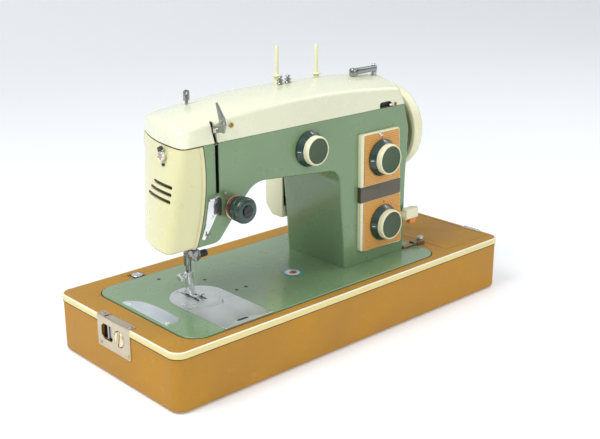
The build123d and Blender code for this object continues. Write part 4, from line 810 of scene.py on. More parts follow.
def top_cover():
    """A crowned lid: walls that lean in, shoulders that roll over, and a crown meshed as one patch."""
    first, last = radians(10), radians(76)

    def ring(lean, angle):
        inset = {k: LEAN[k] * lean + TURN[k] * (cos(first) - cos(angle)) for k in LEAN}
        soft = min(1, inset["front"] / 8)
        return nose_plan(NOSE_HIGH + inset["nose"], 180 - inset["nose"], HEAD_FRONT + inset["front"],
                         HEAD_BACK - inset["back"], COVER_RIGHT - inset["right"], 8 + 3 * soft,
                         10 + 3 * soft, 1 + 5 * soft)

    walls = [(0.0, first), (0.04, first), (0.35, first), (0.7, first), (1.0, first)]
    rolls = [(1.0, first + (last - first) * i / 9) for i in range(1, 10)]
    rings = [ring(*w) for w in walls + rolls]
    reach = {"nose": TURN["nose"], "front": TURN["front"]}

    def height(index, end):
        """Height of a ring's point that stands over or outside the crown's edge point."""
        x, y = end
        top = hood_top(x, y)
        near_nose = max(0.0, min(1.0, (NOSE_HIGH + 26 - x) / 20))
        radius = reach["front"] + (reach["nose"] - reach["front"]) * near_nose
        shoulder = top - radius * (sin(last) - sin(first))
        if index < len(walls):
            return COVER_LOW + (shoulder - COVER_LOW) * walls[index][0]
        return top - radius * (sin(last) - sin(rolls[index - len(walls)][1]))

    bm = bmesh.new()
    loops = []
    for index, runs in enumerate(rings):
        loop = []
        for run, edge, back in zip(runs, rings[-1], (False, False, True, True)):
            pairs = list(zip(run, edge))
            pairs = (pairs[::-1] if back else pairs)[1:]
            loop += [bm.verts.new((*p, height(index, e))) for p, e in pairs]
        loops.append(loop)
    for a, b in zip(loops, loops[1:]):
        for i in range(len(a)):
            j = (i + 1) % len(a)
            bm.faces.new((a[i], a[j], b[j], b[i]))
    ahead, end, behind, start = rings[-1]
    rows, across = len(ahead), STEPS_ACROSS
    grid = []
    for i in range(rows):
        u, row = i / (rows - 1), []
        for j in range(across + 1):
            v = j / across
            long_way = Vector(ahead[i]).lerp(Vector(behind[i]), v)
            cross = Vector(start[j]).lerp(Vector(end[j]), u)
            right_edge = Vector(start[0]).lerp(Vector(start[-1]), v)
            corners = right_edge.lerp(Vector(end[0]).lerp(Vector(end[-1]), v), u)
            p = long_way + cross - corners
            row.append(bm.verts.new((p.x, p.y, hood_top(p.x, p.y))))
        grid.append(row)
    for a, b in zip(grid, grid[1:]):
        for j in range(across):
            bm.faces.new((a[j], a[j + 1], b[j + 1], b[j]))
    bmesh.ops.remove_doubles(bm, verts=bm.verts, dist=0.02)
    cover = place("hood", bm, "cream_enamel", "head", ("top_cover",), angle=50)
    tool = bmesh.new()
    slab(tool, [rounded([(-158.1, 240), (-153.9, 240), (-153.9, 268), (-158.1, 268)], [0, 0, 2, 2])], -12,
         2, 0, (0, HEAD_FRONT, 0), FRONT)
    slab(tool, [rounded([(80, 240), (102, 240), (102, 254), (80, 254)], [0, 0, 5, 5])], -6, 2, 0,
         (0, HEAD_FRONT, 0), FRONT)
    cut(cover, tool, 2.5, 50)

    bm = bmesh.new()
    ahead, end, behind, start = nose_plan(NOSE_HIGH + 0.5, 179.5, HEAD_FRONT + 0.5, HEAD_BACK - 0.5,
                                          COVER_RIGHT - 0.4)
    loop = ahead + end[1:] + behind[::-1][1:] + start[::-1][1:-1]
    sweep(bm, loop, [(0, PARTING - 0.5), (0, COVER_LOW + 0.5), (-2.0, COVER_LOW + 0.5),
                     (-2.0, PARTING - 0.5)])
    place("hood_seam", bm, "tray_board", "head")


def clip(line, limit):
    """The stretch of a plan line that lies left of an x limit, with its ends on the limit."""
    out = []
    for a, b in zip(line, line[1:]):
        if (a.x < limit) != (b.x < limit):
            out.append(a.lerp(b, (limit - a.x) / (b.x - a.x)))
        if b.x < limit:
            out.append(b)
    return out


def along(line, distance):
    """The point a distance along a line, and the direction to the line's left there."""
    for a, b in zip(line, line[1:]):
        step = (b - a).length
        if distance <= step or b is line[-1]:
            run = (b - a).normalized()
            return a + run * distance, Vector((-run.y, run.x))
        distance -= step


def sweep_radius(f):
    """Radius of the nose seen from above, at a share f of the face cover's height."""
    return 105 + 75 * f


BEAD, GROOVE = 3.4, 1.5
LOUVRES = (195, 202, 209)
LOUVRE_Y, LOUVRE_LONG, LOUVRE_WIDE = -23.5, 51, 3.8


def face_cover():
    """The hinged nose: a wrapped sheet with a raised bead along each edge and a rolled bottom."""
    def edge_x(z):
        """The bowed side edge: a parabola through three points."""
        points = ((HEAD_LOW, -184.5), (194.7, -171.8), (PARTING, -173))
        (a, xa), (b, xb), (c, xc) = points
        return (xa * (z - b) * (z - c) / ((a - b) * (a - c)) + xb * (z - a) * (z - c) / ((b - a) * (b - c))
                + xc * (z - a) * (z - b) / ((c - a) * (c - b)))

    def relief(s):
        """Height of the edge bead, then depth of the groove beside it, s in from the edge."""
        if s < BEAD:
            return 1.3 * max(0, sin(pi * s / BEAD)) ** 0.6
        return -0.7 * sin(pi * (s - BEAD) / GROOVE) if s < BEAD + GROOVE else 0.0

    strips = [0, 0.25, 0.6, 1.1, 1.7, 2.3, 2.8, 3.15, 3.4, 3.8, 4.15, 4.5, 4.9]
    curl_r, fill = 4, 96
    turns = [pi * i / 12 for i in range(6, 0, -1)]
    levels = [(HEAD_LOW + curl_r * (1 - sin(a)), curl_r * (1 - cos(a))) for a in turns]
    levels += [(HEAD_LOW + curl_r + (PARTING - 0.9 - HEAD_LOW - curl_r) * i / 26, 0) for i in range(27)]
    bm = bmesh.new()
    rows = []
    for z, curl in levels:
        f = (z - HEAD_LOW) / (PARTING - HEAD_LOW)
        nose = NOSE_LOW + (NOSE_HIGH - NOSE_LOW) * f
        ahead, end, behind, _ = nose_plan(nose, sweep_radius(f), HEAD_FRONT, HEAD_BACK, -120)
        line = [Vector(p) for p in ahead[5:] + end[1:] + behind[5:-1][::-1]]
        line = clip(line, edge_x(z))
        length = sum((b - a).length for a, b in zip(line, line[1:]))
        last = strips[-1]
        reach = strips + [last + (length - 2 * last) * i / fill for i in range(1, fill)]
        reach += [length - s for s in reversed(strips)]
        row = []
        for at in reach:
            point, side = along(line, at)
            out = relief(min(at, length - at)) - curl
            row.append(bm.verts.new((point.x + side.x * out, point.y + side.y * out, z)))
        rows.append(row)
    for a, b in zip(rows, rows[1:]):
        for i in range(len(a) - 1):
            bm.faces.new((a[i], a[i + 1], b[i + 1], b[i]))
    shell = place("nose_cover", bm, "cream_enamel", "face_cover", ("face_cover",), mats["aged_cream"], 50)
    tool = bmesh.new()
    for z in LOUVRES:
        slab(tool, [stadium((LOUVRE_Y, z), LOUVRE_LONG, LOUVRE_WIDE)], 0, 34, 0, (-234, 0, 0), RIGHT)
    cut(shell, tool, 2.2, 50)
    # Black tubes behind the louvre slots: painted shade inside the head.
    bm = bmesh.new()
    for z in LOUVRES:
        f = (z - HEAD_LOW) / (PARTING - HEAD_LOW)
        nose, bend = NOSE_LOW + (NOSE_HIGH - NOSE_LOW) * f, sweep_radius(f)
        depth = [(bend - sqrt(bend ** 2 - (y + 42) ** 2), y) for y in range(-46, 2, 3)]
        tube(bm, [(nose + 4.7 + x, y, z) for x, y in depth], 2.4, 12)
    place("louvre_painted_shade", bm, "black_enamel", "face_cover")
    bm = bmesh.new()
    heights = [HEAD_LOW + 2 + (PARTING - HEAD_LOW - 3) * i / 24 for i in range(25)]
    tube(bm, [(edge_x(z) + 0.45, HEAD_FRONT + 0.05, z) for z in heights], 0.5, 8)
    place("nose_joint", bm, "tray_board", "head")


def face_catch():
    """A domed catch: a bright disc round a tan centre, with a finger tab."""
    bm = bmesh.new()
    x = spans("face_catch")[0][0]
    lathe(bm, [(0, -12.8), (2.45, -12.8), (2.45, -3.6), (5.0, -3.6), (5.2, -3.2), (5.2, -1.2), (4.7, -0.3),
               (3.6, 0), (3.2, -0.5), (0, -0.5)], (x, *CATCH), LEFT)
    slab(bm, [box_outline((CATCH[0] - 3, CATCH[0] + 3), (CATCH[1] - 2.5, CATCH[1] + 8), 1)], 10.7, 12.7,
         0.3, (x, 0, 0), RIGHT, 0.3)
    place("catch_disc", bm, "plated_steel", "face_catch", ("face_catch",))
    bm = bmesh.new()
    lathe(bm, [(0, 0.1), (1.2, 0.1), (2.6, -0.1), (3.15, -0.5), (3.15, -0.8), (0, -0.8)], (x, *CATCH), LEFT,
          32)
    place("catch_centre", bm, "tan_leatherette", "face_catch", (), mats["tan_button"])
    bm = bmesh.new()
    y, z = CATCH
    for points in (
        [(y + 8.4, z + 7.2), (y + 2.6, z + 10), (y - 0.6, z + 7.6), (y + 7.4, z + 2.4)],
        [(y - 3.4, z - 7.4), (y + 2.6, z - 7.4), (y + 1.6, z - 10.2), (y - 2.4, z - 10.2)],
    ):
        slab(bm, [rounded(points, 1.0, steps=4)], 0, 2.2, 0, (x + 3.1, 0, 0), RIGHT, 0.6)
    place("catch_rests", bm, "black_plastic", "face_cover")


# ------------------------------------------------------------------ dials, panel and levers
DIAL_HEIGHT = 15.6


def dial(node, body):
    """A dial: a dark skirt with index marks, a cream knob and a matt inset in its face."""
    wide, deep, high = spans(node)
    x, front, z = sum(wide) / 2, deep[0], sum(high) / 2
    skirt = (wide[1] - wide[0]) / 2
    knob = skirt * 0.825
    face = front + DIAL_HEIGHT
    start, axis = (x, face, z), FRONT
    bm = bmesh.new()
    lathe(bm, [(0, 0.35), (skirt - 0.5, 0.35), (skirt, 0.8), (skirt, 2.2), (skirt - 0.5, 2.9),
               (knob + 0.9, 6.4), (knob - 0.1, 7.4), (knob - 0.5, 8.4), (0, 8.4)], start, axis, 72)
    lathe(bm, [(0, -16.8), (3.95, -16.8), (3.95, 0.4), (0, 0.4)], start, axis, 32)
    place(node + "_skirt", bm, "green_plastic", body, (node,))
    bm = bmesh.new()
    lathe(bm, [(0, 8.2), (knob - 0.6, 8.2), (knob, 8.8), (knob, 13.4), (knob - 0.4, 14.7),
               (knob - 1.1, 15.4), (knob - 1.6, 15.6), (knob - 2.1, 15.3), (knob - 2.3, 14.5), (0, 14.5)],
          start, axis, 72)
    place(node + "_knob", bm, "cream_plastic", body)
    bm = bmesh.new()
    inset = knob - 2.35
    lathe(bm, [(0, 14.4), (inset, 14.4), (inset, 14.85), (inset - 0.5, 14.95), (inset - 1.1, 14.7),
               (0, 14.7)], start, axis, 72)
    place(node + "_inset", bm, "green_enamel", body, (), mats["matt_green"])
    bm = bmesh.new()
    for turn in (90, 180):
        c, s = cos(radians(turn)), sin(radians(turn))
        ends = [Vector(((knob + 1.1) * c, -6.45, (knob + 1.1) * s)),
                Vector(((skirt - 0.8) * c, -3.05, (skirt - 0.8) * s))]
        tube(bm, [Vector((x, face, z)) + p for p in ends], 0.42, 8)
    place(node + "_marks", bm, "cream_plastic", body, (), mats["white_mark"])


def panel():
    """The control panel: a cream base, a ribbed orange face, a grey band across it and red index marks."""
    front, back = PANEL_FRONT, HEAD_FRONT
    corners = [(45.5, 223), (46.5, 84), (117, 81), (109, 223)]
    bm = bmesh.new()
    slab(bm, [rounded(corners, 3)], -0.05, back - front, 1.0, (0, back, 0), FRONT)
    place("panel_base", bm, "cream_plastic", "head", ("dial_panel",))

    def left(z):
        return 50.6 + (223 - z) / 139

    def right(z):
        return 108 + (223 - z) / 142 * 8 - 0.3

    for name, low, high in (("panel_face_top", 162.2, 221.6), ("panel_face_low", 83.2, 142.7)):
        bm = bmesh.new()
        count = int((high - low) / 0.8)
        rows = []
        for i in range(count + 1):
            z = low + (high - low) * i / count
            near_end = min(z - low, high - z)
            trim = 1.6 - sqrt(max(0, 1.6 ** 2 - (1.6 - near_end) ** 2)) if near_end < 1.6 else 0
            ends = left(z) + trim, right(z) - trim
            depth = front + 0.05 - (0.14 if i % 2 else 0.42)
            rows.append([bm.verts.new((x, y, z)) for x, y in ((ends[0], front + 0.3), (ends[0], depth),
                                                              (ends[1], depth), (ends[1], front + 0.3))])
        for a, b in zip(rows, rows[1:]):
            for k in range(4):
                m = (k + 1) % 4
                bm.faces.new((a[k], a[m], b[m], b[k]))
        bm.faces.new(rows[0])
        bm.faces.new(rows[-1][::-1])
        place(name, bm, "orange_panel", "head", angle=20)
    bm = bmesh.new()
    band = (143.3, 161.6)
    x0 = 45.5 + (223 - band[1]) / 139
    slab(bm, [box_outline((x0 - 0.35, right(152) + 0.4), band, 0.8)], 0, 0.55, 0.25, (0, front, 0), FRONT)
    slab(bm, [box_outline((x0 - 0.55, x0 + 1), band, 0.3)], -(back - front) + 0.3, 0.5, 0.2, (0, front, 0),
         FRONT)
    place("panel_band", bm, "bright_steel", "head", (), mats["grey_band"])
    bm = bmesh.new()
    slab(bm, [box_outline((50.2, 50.75), (84, 221.8))], 0, 0.12, 0, (0, front, 0), FRONT)
    place("panel_line", bm, "black_plastic", "head")
    bm = bmesh.new()
    for x, z in ((78.8, 216), (84.5, 138)):
        slab(bm, [box_outline((x - 0.6, x + 0.6), (z - 1.8, z + 1.8), 0.3, 3)], 0.1, 0.5, 0, (0, front, 0),
             FRONT)
    place("panel_index", bm, "orange_panel", "head", (), mats["red_mark"])
    bm = bmesh.new()
    screw(bm, (76.5, front, 219.6), FRONT, 2.6, 1.4, 28)
    place("panel_screw", bm, "plated_steel", "head")


def reverse_lever():
    softened("reverse_lever", 1.1, 3)
    bm = bmesh.new()
    x = spans("reverse_lever")[0][0] + 2
    slab(bm, [rounded([(x + 10, 111), (x + 10, 101), (x + 18, 101), (x + 21, 104), (x + 21, 111)],
                      [1, 2, 2, 2, 1])], 0, 6.5, 1.2, (0, -60.5, 0), FRONT, 0.8)
    place("reverse_lever_grip", bm, "orange_panel", "reverse_lever", (), mats["orange_plastic"])


# ------------------------------------------------------------------ handwheel
def handwheel():
    """The handwheel's rim and dish, an olive layer of painted shade over the dish, and the knob that frees
    it from the shaft.
    """
    left, right = WHEEL_X[0] + 3, WHEEL_X[1]
    start = (0, *SHAFT)
    r = (spans("handwheel")[2][1] - spans("handwheel")[2][0]) / 2
    bm = bmesh.new()
    bulge = rounded([(left, r - 5), (left, r), (left + 14, r), (left + 22, r - 9), (right, 32), (right, 20),
                     (right - 1.6, 17.6)], [0, 1.6, 8, 14, 10, 1.6, 0], False, 8)
    inner = rounded([(right - 2, 6.05), (left - 3, 6.05), (left - 3, 12), (left + 10, 14),
                     (left + 16.5, 30), (left + 10.5, 43), (left + 3.6, r - 5.2), (left, r - 5)],
                    [0, 0.3, 1, 5, 8, 5, 0.8, 0], False, 6)
    profile = [(b, a) for a, b in bulge + inner]
    lathe(bm, [*profile, profile[0]], start, RIGHT, 96)
    bmesh.ops.remove_doubles(bm, verts=bm.verts, dist=0.001)
    place("wheel", bm, "cream_plastic", "main_shaft", ("handwheel",))
    # A thin olive layer over the dish's inner face: painted shade where the rim shadows the dish.
    bm = bmesh.new()
    lathe(bm, [(r - 6.5, left + 9.0), (r - 8, left + 10.2), (31, left + 16.0), (20, left + 12.6),
               (14.5, left + 9.8), (14.5, left + 10.4), (20, left + 13.2), (31, left + 16.4),
               (r - 7.6, left + 10.9), (r - 6.5, left + 9.0)], start, RIGHT, 96)
    place("wheel_dish_painted_shade", bm, "cream_plastic", "main_shaft", (), mats["olive_dish"])
    bm = bmesh.new()
    (a, b), knob = spans("clutch_knob")[0], 15
    rim = [(0, a + 0.4), (6.1, a + 0.4), (6.1, a), (knob - 0.4, a), (knob, a + 0.6), (knob, b - 3)]
    rim += [(knob - 3 + 3 * cos(t), b - 3 + 3 * sin(t)) for t in (pi * i / 12 for i in range(1, 7))]
    lathe(bm, rim + [(9.4, b), (9, b - 0.4), (8.8, b - 1.5), (0, b - 1.5)], start, RIGHT, 72)
    for i in range(24):
        t = 2 * pi * i / 24
        y, z = SHAFT[0] + (knob + 0.05) * cos(t), SHAFT[1] + (knob + 0.05) * sin(t)
        tube(bm, [(a + 0.8, y, z), (a + 1.6, y, z), (b - 3.6, y, z), (b - 2.8, y, z)], [0.1, 0.7, 0.7, 0.1],
             6)
    place("wheel_release", bm, "cream_plastic", "clutch_knob", ("clutch_knob",))
    bm = bmesh.new()
    lathe(bm, [(0, b - 1.6), (8.7, b - 1.6), (8.7, b - 1.1), (7.9, b - 0.8), (0, b - 0.6)], start, RIGHT,
          48)
    place("wheel_release_cap", bm, "plated_steel", "clutch_knob")


# ------------------------------------------------------------------ thread path
def tension():
    """The thread tension knob and its discs, and the bright plate beside them."""
    x, z = TENSION
    front = HEAD_FRONT
    bm = bmesh.new()
    slab(bm, [rounded([(-156.5, 193), (-158, 178), (-155.4, 172), (-153.4, 174), (-153, 190)], 1.5)], 1.3,
         2.6, 0.5, (0, front, 0), FRONT)
    place("head_plate_works", bm, "black_plastic", "head")
    start, axis = (x, front, z), FRONT
    knob_front = front - spans("tension_knob")[1][0]
    bm = bmesh.new()
    lathe(bm, [(4.05, 10.2), (12.6, 10.2), (13.3, 10.9), (13.3, 14.6), (12.7, 15.1), (12.7, 15.7),
               (13.3, 16.2), (13.3, knob_front - 2.2), (12.4, knob_front - 0.8), (10.6, knob_front),
               (6.6, knob_front), (6.0, knob_front - 0.9), (4.05, knob_front - 0.9), (4.05, 10.2)], start,
          axis, 72)
    for i in range(36):
        t = 2 * pi * i / 36
        spot = [(x + 13.25 * cos(t), front - d, z + 13.25 * sin(t)) for d in (16.5, 17.2, knob_front - 3.2,
                                                                              knob_front - 2.4)]
        tube(bm, spot, [0.1, 0.5, 0.5, 0.1], 6)
    place("tension_grip", bm, "green_plastic", "tension_knob", ("tension_knob",))
    bm = bmesh.new()
    lathe(bm, [(0, -7), (4, -7), (4, -0.2), (8, -0.2), (8, 3.6), (7.2, 4.4), (5, 4.5), (5, 9.4), (4, 9.6),
               (3.9, 24), (3.5, 24.4), (0, 24.4)], start, axis)
    place("tension_stud", bm, "bright_steel", "head", ("tension_post",))
    bm = bmesh.new()
    for low in (5.0, 7.4):
        lathe(bm, [(5, low), (10.6, low), (12.6, low + (1.0 if low > 6 else -0.6)),
                   (12.7, low + (1.3 if low > 6 else -0.2)), (10.8, low + 0.6), (5, low + 0.6), (5, low)],
              start, axis, 60)
    place("tension_discs", bm, "bronze", "head", (), mats["rose_brass"])
    bm = bmesh.new()
    screw(bm, (x, front - 24.2, z), axis, 5.2, 1.2, 15, 0.3)
    place("tension_slot", bm, "black_plastic", "head")
    softened("check_spring", 0.25)
    bm = bmesh.new()
    shape = [(-168, 193), (-173, 166), (-178.6, 152.5), (-175, 150.5), (-165, 164), (-157.4, 177),
             (-155, 188), (-151.5, 193)]
    slab(bm, [rounded(shape, [1.5, 12, 1.5, 1.5, 12, 12, 4, 1.5])], 0, 1.2, 0.4, (0, front, 0), axis)
    slab(bm, [box_outline((-169, -161), (190.4, 193.6), 0.8)], 0, 5, 0.6, (0, front, 0), axis)
    place("head_plate", bm, "plated_steel", "head", ("tension_plate",), mats["mirror_plate"])
    bm = bmesh.new()
    screw(bm, (-164.5, front - 1.1, 172.6), axis, 2.0, 0.9, 40)
    place("head_plate_screw", bm, "plated_steel", "head")


def take_up():
    """The take-up lever: a curved leaf with a roller where it leaves its slot."""
    left = spans("take_up_lever")[0][0]
    bm = bmesh.new()
    blade = [(6, 223.5), (8, 231), (2, 233), (-57, 266.3), (-64, 269.4), (-58.6, 288.4), (-60.3, 289.2),
             (-71, 276), (-73.4, 268), (-70.5, 259.5), (-66, 260), (-57, 257.8), (0, 224.6)]
    soft = [3, 3, 6, 20, 3, 0.9, 0.9, 5, 4, 2, 3, 10, 8]
    blade = rounded(blade, soft)
    slab(bm, [blade, circle((-69.6, 269.6), 1.5, 16)], left + 0.5, left + 2.6, 0.5, (0, 0, 0), RIGHT, 0.5)
    x, y, z = left, 4, 228
    lathe(bm, [(3.05, 0), (5.2, 0), (5.6, 0.4), (5.6, 2.6), (5.2, 3), (3.05, 3), (3.05, 0)], (x, y, z),
          RIGHT)
    place("take_up_leaf", bm, "plated_steel", "take_up_lever", ("take_up_lever",), mats["dark_chrome"])
    front = HEAD_FRONT
    bm = bmesh.new()
    outer = rounded([(-159.1, PARTING - 1), (-159.1, 195), (-152.9, 195), (-152.9, PARTING - 1)],
                    [0, 3, 3, 0])
    inner = rounded([(-158.2, PARTING - 1.5), (-158.2, 196), (-153.8, 196), (-153.8, PARTING - 1.5)],
                    [0, 1.7, 1.7, 0])
    slab(bm, [outer, inner], -0.7, 0.12, 0, (0, front, 0), FRONT)
    place("take_up_edges", bm, "green_enamel", "head")
    # Black frames inside the lever's slots in the head and hood: painted shade in the openings.
    bm = bmesh.new()
    slab(bm, [outer, inner], -14, -0.75, 0, (0, front, 0), FRONT)
    outer = rounded([(-159.6, 249), (-152.4, 249), (-152.4, 266.8), (-159.6, 266.8)], [0, 0, 2, 2])
    inner = rounded([(-158, 249.5), (-154, 249.5), (-154, 266.4), (-158, 266.4)], [0, 0, 1.9, 1.9])
    slab(bm, [outer, inner], -20, -12.5, 0, (0, front, 0), FRONT)
    place("take_up_painted_shade", bm, "black_enamel", "head")
    bm = bmesh.new()
    tube(bm, [(-159.2, -61 + 2.5, 261), (-152.8, -61 + 2.5, 261)], 2.2, 20)
    place("take_up_roller", bm, "plated_steel", "head")


def needle_works():
    softened("presser_lifter", 0.6)
    for node, width in (("needle_clamp", 0.5), ("presser_bar", 0.25), ("thread_guides", 0.3),
                        ("feed_dog", 0.1)):
        softened(node, width, 2, mats["dark_chrome"])
    x, y = NEEDLE
    bm = bmesh.new()
    foot = spans("presser_foot")
    sole, top, bar_y = foot[2][0], foot[2][1], y + 11.5
    toe = [(bar_y, sole), (y - 4.5, sole), (y - 8.6, sole + 2.4), (y - 9.4, sole + 4),
           (y - 8.4, sole + 4.3), (y - 5, sole + 1.7), (bar_y, sole + 1.7)]
    for low, high in ((x - 5.2, x - 1.6), (x + 1.6, x + 5.2)):
        slab(bm, [rounded(toe, [0.6, 2, 2, 0.5, 0.5, 3, 0.8])], low, high, 0.3, (0, 0, 0), RIGHT, 0.3)
    slab(bm, [box_outline((x - 5.2, x + 5.2), (y + 3.2, bar_y + 2), 1)], sole, sole + 1.8, 0.4)
    neck = [(bar_y + 3.4, top), (bar_y + 3.4, sole + 6), (bar_y + 1, sole + 1.5), (y + 5.9, sole + 1.5),
            (y + 5.9, sole + 4.5), (bar_y - 3.8, sole + 12), (bar_y - 3.8, top)]
    slab(bm, [rounded(neck, [0.6, 3, 1, 1, 2, 4, 0.6])], x - 3.5, x + 3.4, 0.5, (0, 0, 0), RIGHT, 0.5)
    lathe(bm, [(0, 0), (1.6, 0), (1.6, 5), (4.1, 5.2), (4.2, 5.8), (4.2, 9.6), (3.7, 9.9), (0, 9.9)],
          (x - 3, bar_y, 89), LEFT, 32)
    place("sewing_foot", bm, "plated_steel", "presser_bar", ("presser_foot",))
    bm = bmesh.new()
    low, high = spans("needle_bar")[2]
    lathe(bm, [(0, 0), (2.6, 0), (3, 0.4), (3, high - low - 0.4), (2.6, high - low), (0, high - low)],
          (x, y, low), UP, 32)
    place("needle_rod", bm, "ground_steel", "needle_bar", ("needle_bar",), mats["dark_chrome"])
    bm = bmesh.new()
    low, high = spans("needle")[2]
    lathe(bm, [(0, 0), (0.12, 0.4), (0.42, 3.2), (0.45, 16), (0.72, 19), (0.72, high - low),
               (0, high - low)], (x, y, low), UP, 20)
    place("needle_shank", bm, "ground_steel", "needle_bar", ("needle",))
    bm = bmesh.new()
    right = spans("needle_clamp")[0][1]
    lathe(bm, [(0, -9.3), (3.7, -9.3), (3.9, -8.9), (3.9, -1.2), (3.7, -0.8), (0, -0.8)], (right, y, 114.5),
          RIGHT, 32)
    place("clamp_grip", bm, "black_plastic", "needle_bar")
    bm = bmesh.new()
    screw(bm, (right - 0.9, y, 114.5), RIGHT, 3.5, 1.4, 20, 0.2)
    place("clamp_cap", bm, "plated_steel", "needle_bar")
    bm = bmesh.new()
    for k in range(14):
        t = 2 * pi * k / 14
        spot = [(sx, 5 + 4.2 * cos(t), 89 + 4.2 * sin(t)) for sx in (-163.2, -162.6, -158.9, -158.3)]
        tube(bm, spot, [0.1, 0.45, 0.45, 0.1], 6)
    place("foot_screw_knurl", bm, "plated_steel", "presser_bar")
    bm = bmesh.new()
    for dy in (0, 11.5):
        lathe(bm, [(3.2, 0), (6.0, 0), (6.2, -0.3), (6.2, -2.2), (5.4, -3.2), (3.2, -3.4), (3.2, 0)],
              (x, y + dy, HEAD_LOW + 0.3), UP, 40)
    place("bar_collars", bm, "bright_steel", "head")


# ------------------------------------------------------------------ top of the machine
def top_fittings():
    pins = [(-8, 20, 279), (44, 11, 276.5)]
    bm = bmesh.new()
    for x, y, z in pins:
        lathe(bm, [(0, -7), (2.95, -7), (2.95, 0), (4.6, 0), (4.7, 0.6), (4.0, 2.4), (3.1, 6.6), (3.1, 7.0),
                   (6.0, 7.0), (6.4, 7.35), (6.4, 8.0), (6.0, 8.4), (3.0, 8.6), (2.3, 9.4), (2.3, 38),
                   (2.0, 39.8), (1.2, 41.2), (0, 41.5)], (x, y, z), UP, 40)
    place("thread_pins", bm, "cream_plastic", "head", ("spool_pins",))
    bm = bmesh.new()
    for x, y in ((-21, 0), (-9.5, 0)):
        lathe(bm, [(0, 274), (1.75, 274), (1.75, 281.4), (3.4, 281.6), (4, 282.2), (3.2, 283.2),
                   (1.9, 283.4), (1.9, 284.4), (3.2, 284.6), (4, 285.6), (3.4, 286.2), (1.6, 286.3),
                   (1.6, 288), (2.6, 288.4), (2.9, 289), (2.4, 289.7), (0, 290)], (x, y, 0), UP, 32)
    place("pretension_posts", bm, "plated_steel", "head", ("pretension_guide",), mats["dark_chrome"])
    bm = bmesh.new()
    px, py = 80, -14
    sx = 114
    lathe(bm, [(0, 266), (2.95, 266), (2.95, 279.8), (4.6, 280.2), (5.2, 281.2), (5.2, 286.8), (4.4, 288),
               (2.0, 288.6), (0, 288.8)], (px, py, 0), UP, 40)
    slab(bm, [arc((px, py), 4.4, 100, 260, 12) + arc((sx, py), 3.7, -80, 80, 12),
              circle((sx, py), 1.6, 20)], 281.4, 287.8, 1.2, soft_low=1.0)
    place("winder_bar", bm, "plated_steel", "winder_arm", ("winder_arm",), mats["dark_chrome"])
    bm = bmesh.new()
    lathe(bm, [(0, 271), (5.2, 271), (5.5, 271.4), (5.5, 273), (5.1, 273.5), (3.3, 273.8), (3.3, 280.8),
               (1.5, 281), (1.5, 288), (2.9, 288.2), (3.1, 289.2), (2.4, 290.2), (0, 290.4)], (sx, py, 0),
          UP, 32)
    place("winder_pin", bm, "ground_steel", "winder_spindle", ("winder_spindle",))
    bm = bmesh.new()
    front = HEAD_FRONT
    screw(bm, (-135.4, front + 2.2, 262.3), (0, -1, 0.15), 2.6, 1.4, 35)
    screw(bm, (105.6, front + 0.5, 249.8), (0, -1, 0.15), 2.2, 1.2, 60)
    place("hood_screws", bm, "bronze", "head")
    # A black sheet at the back of the hood notch: painted shade in the opening.
    bm = bmesh.new()
    slab(bm, [rounded([(80.4, 248), (101.6, 248), (101.6, 253.6), (80.4, 253.6)], [0, 0, 4, 4])], -4.2,
         -3.8, 0, (0, front, 0), FRONT)
    place("hood_notch_painted_shade", bm, "black_enamel", "head")
    bm = bmesh.new()
    tube(bm, [(96.5, front + 1.5, 249.4), (101, front + 1.5, 249.4)], 1.4, 16)
    place("hood_notch_pin", bm, "plated_steel", "head")


# ------------------------------------------------------------------ back of the machine
def back_fittings():
    softened("rear_cover", 0.8, 3)
    softened("power_inlet", 0.4)
    softened("bed_hinges", 0.4)
    (x0, x1), (z0, z1) = spans("rear_cover")[0], spans("rear_cover")[2]
    back = spans("rear_cover")[1][1]
    bm = bmesh.new()
    for i in range(7):
        z = z0 + 26 + i * 7
        slab(bm, [stadium((-(x0 + x1) / 2, z), 56, 2.6)], -0.5, 0.9, 0.5, (0, back, 0), BACK)
    place("rear_ribs", bm, "cream_plastic", "head")
    bm = bmesh.new()
    for x, y, z, turn in ((x0 + 6, back, z1 - 8, 10), (x1 - 6, back, z1 - 8, 70), (-120, ARM_Y[1], 225, 50),
                          (-20, ARM_Y[1], 232, 25), (118, ARM_Y[1], 96, 80)):
        screw(bm, (x, y - 0.1, z), BACK, 3, 1.2, turn)
    place("rear_screws", bm, "plated_steel", "head")
    softened("case_feet", 0.4)


case()
lock()
lid()
deck_metal()
bed_fittings()
top_cover()
face_cover()
face_catch()
for name in ("arm_dial", "upper_dial", "lower_dial"):
    dial(name, name)
panel()
reverse_lever()
handwheel()
tension()
take_up()
needle_works()
top_fittings()
back_fittings()


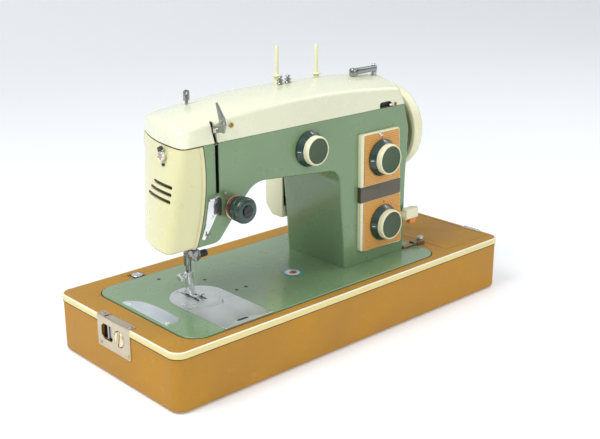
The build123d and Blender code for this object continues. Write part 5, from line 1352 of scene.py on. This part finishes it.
# ------------------------------------------------------------------ studio and camera
def studio():
    """A pale world, three soft lights and a curved paper floor."""
    world = bpy.data.worlds.new("studio")
    bpy.context.scene.world = world
    world.use_nodes = True
    background = world.node_tree.nodes["Background"]
    background.inputs["Strength"].default_value = 0.62
    tree = world.node_tree
    place_node, parts, ramp = (tree.nodes.new(k) for k in ("ShaderNodeTexCoord", "ShaderNodeSeparateXYZ",
                                                           "ShaderNodeValToRGB"))
    tree.links.new(place_node.outputs["Generated"], parts.inputs["Vector"])
    tree.links.new(parts.outputs["Z"], ramp.inputs["Fac"])
    tree.links.new(ramp.outputs["Color"], background.inputs["Color"])
    stops = ramp.color_ramp.elements
    stops[0].position, stops[0].color = 0.0, (0.45, 0.47, 0.49, 1)
    stops[1].position, stops[1].color = 0.75, (1.1, 1.14, 1.18, 1)
    stops.new(0.18).color = (0.55, 0.57, 0.60, 1)
    stops.new(0.35).color = (0.95, 0.98, 1.02, 1)
    bpy.context.scene.view_settings.view_transform = "Standard"

    def panel(name, place, aim, size, power, colour=(1, 1, 1)):
        data = bpy.data.lights.new(name, "AREA")
        data.shape = "RECTANGLE"
        data.size, data.size_y = size
        data.energy = power
        data.color = colour
        light = bpy.data.objects.new(name, data)
        bpy.context.scene.collection.objects.link(light)
        light.location = place
        light.rotation_euler = (Vector(aim) - Vector(place)).to_track_quat("-Z", "Y").to_euler()

    panel("key", (-1.0, 0.1, 1.5), (0, 0, 0.1), (0.8, 0.8), 17)
    panel("front", (-0.3, -1.7, 1.0), (0, 0, 0.1), (1.2, 1.0), 7, (1.0, 0.99, 0.97))
    panel("right", (1.5, -0.5, 1.3), (0, 0, 0.1), (1.2, 1.0), 6)

    bm = bmesh.new()
    rows = []
    flat, bend = 12, 1.6
    for i in range(2 * flat + 1):
        if i < flat:
            y, z = -3.5 + i * 0.45, 0
        else:
            turn = (i - flat) / flat * pi / 2
            y, z = bend + bend * sin(turn), bend * (1 - cos(turn))
        rows.append([bm.verts.new((x * 0.9 - 4.5, y, z)) for x in range(11)])
    for a, b in zip(rows, rows[1:]):
        for i in range(10):
            bm.faces.new((a[i], a[i + 1], b[i + 1], b[i]))
    mesh = bpy.data.meshes.new("backdrop")
    bm.to_mesh(mesh)
    floor = bpy.data.objects.new("backdrop", mesh)
    bpy.context.scene.collection.objects.link(floor)
    p = Paint("paper", (0.86, 0.87, 0.88), 0.6)
    p.set("Emission Color", (0.95, 0.98, 1.0, 1))
    p.set("Emission Strength", 0.14)
    p.vary_rough(p.noise(0.3, 3), 0.55, 0.7)
    floor.data.materials.append(p.material)
    for face in mesh.polygons:
        face.use_smooth = True


def camera():
    """The photograph's view, solved from the straight edges of the case, the bed and the pillar."""
    data = bpy.data.cameras.new("camera")
    data.sensor_width, data.lens = 36, 61.007
    data.clip_start, data.clip_end = 0.05, 50
    view = bpy.data.objects.new("camera", data)
    bpy.context.scene.collection.objects.link(view)
    bpy.context.scene.camera = view
    ahead = Vector((0.64336, 0.69827, -0.31386))
    right = Vector((0.73518, -0.67787, -0.00110))
    up = right.cross(ahead)
    view.matrix_world = Matrix(((right.x, up.x, -ahead.x, -0.75687), (right.y, up.y, -ahead.y, -0.83069),
                                (right.z, up.z, -ahead.z, 0.49093), (0, 0, 0, 1),))


studio()
camera()
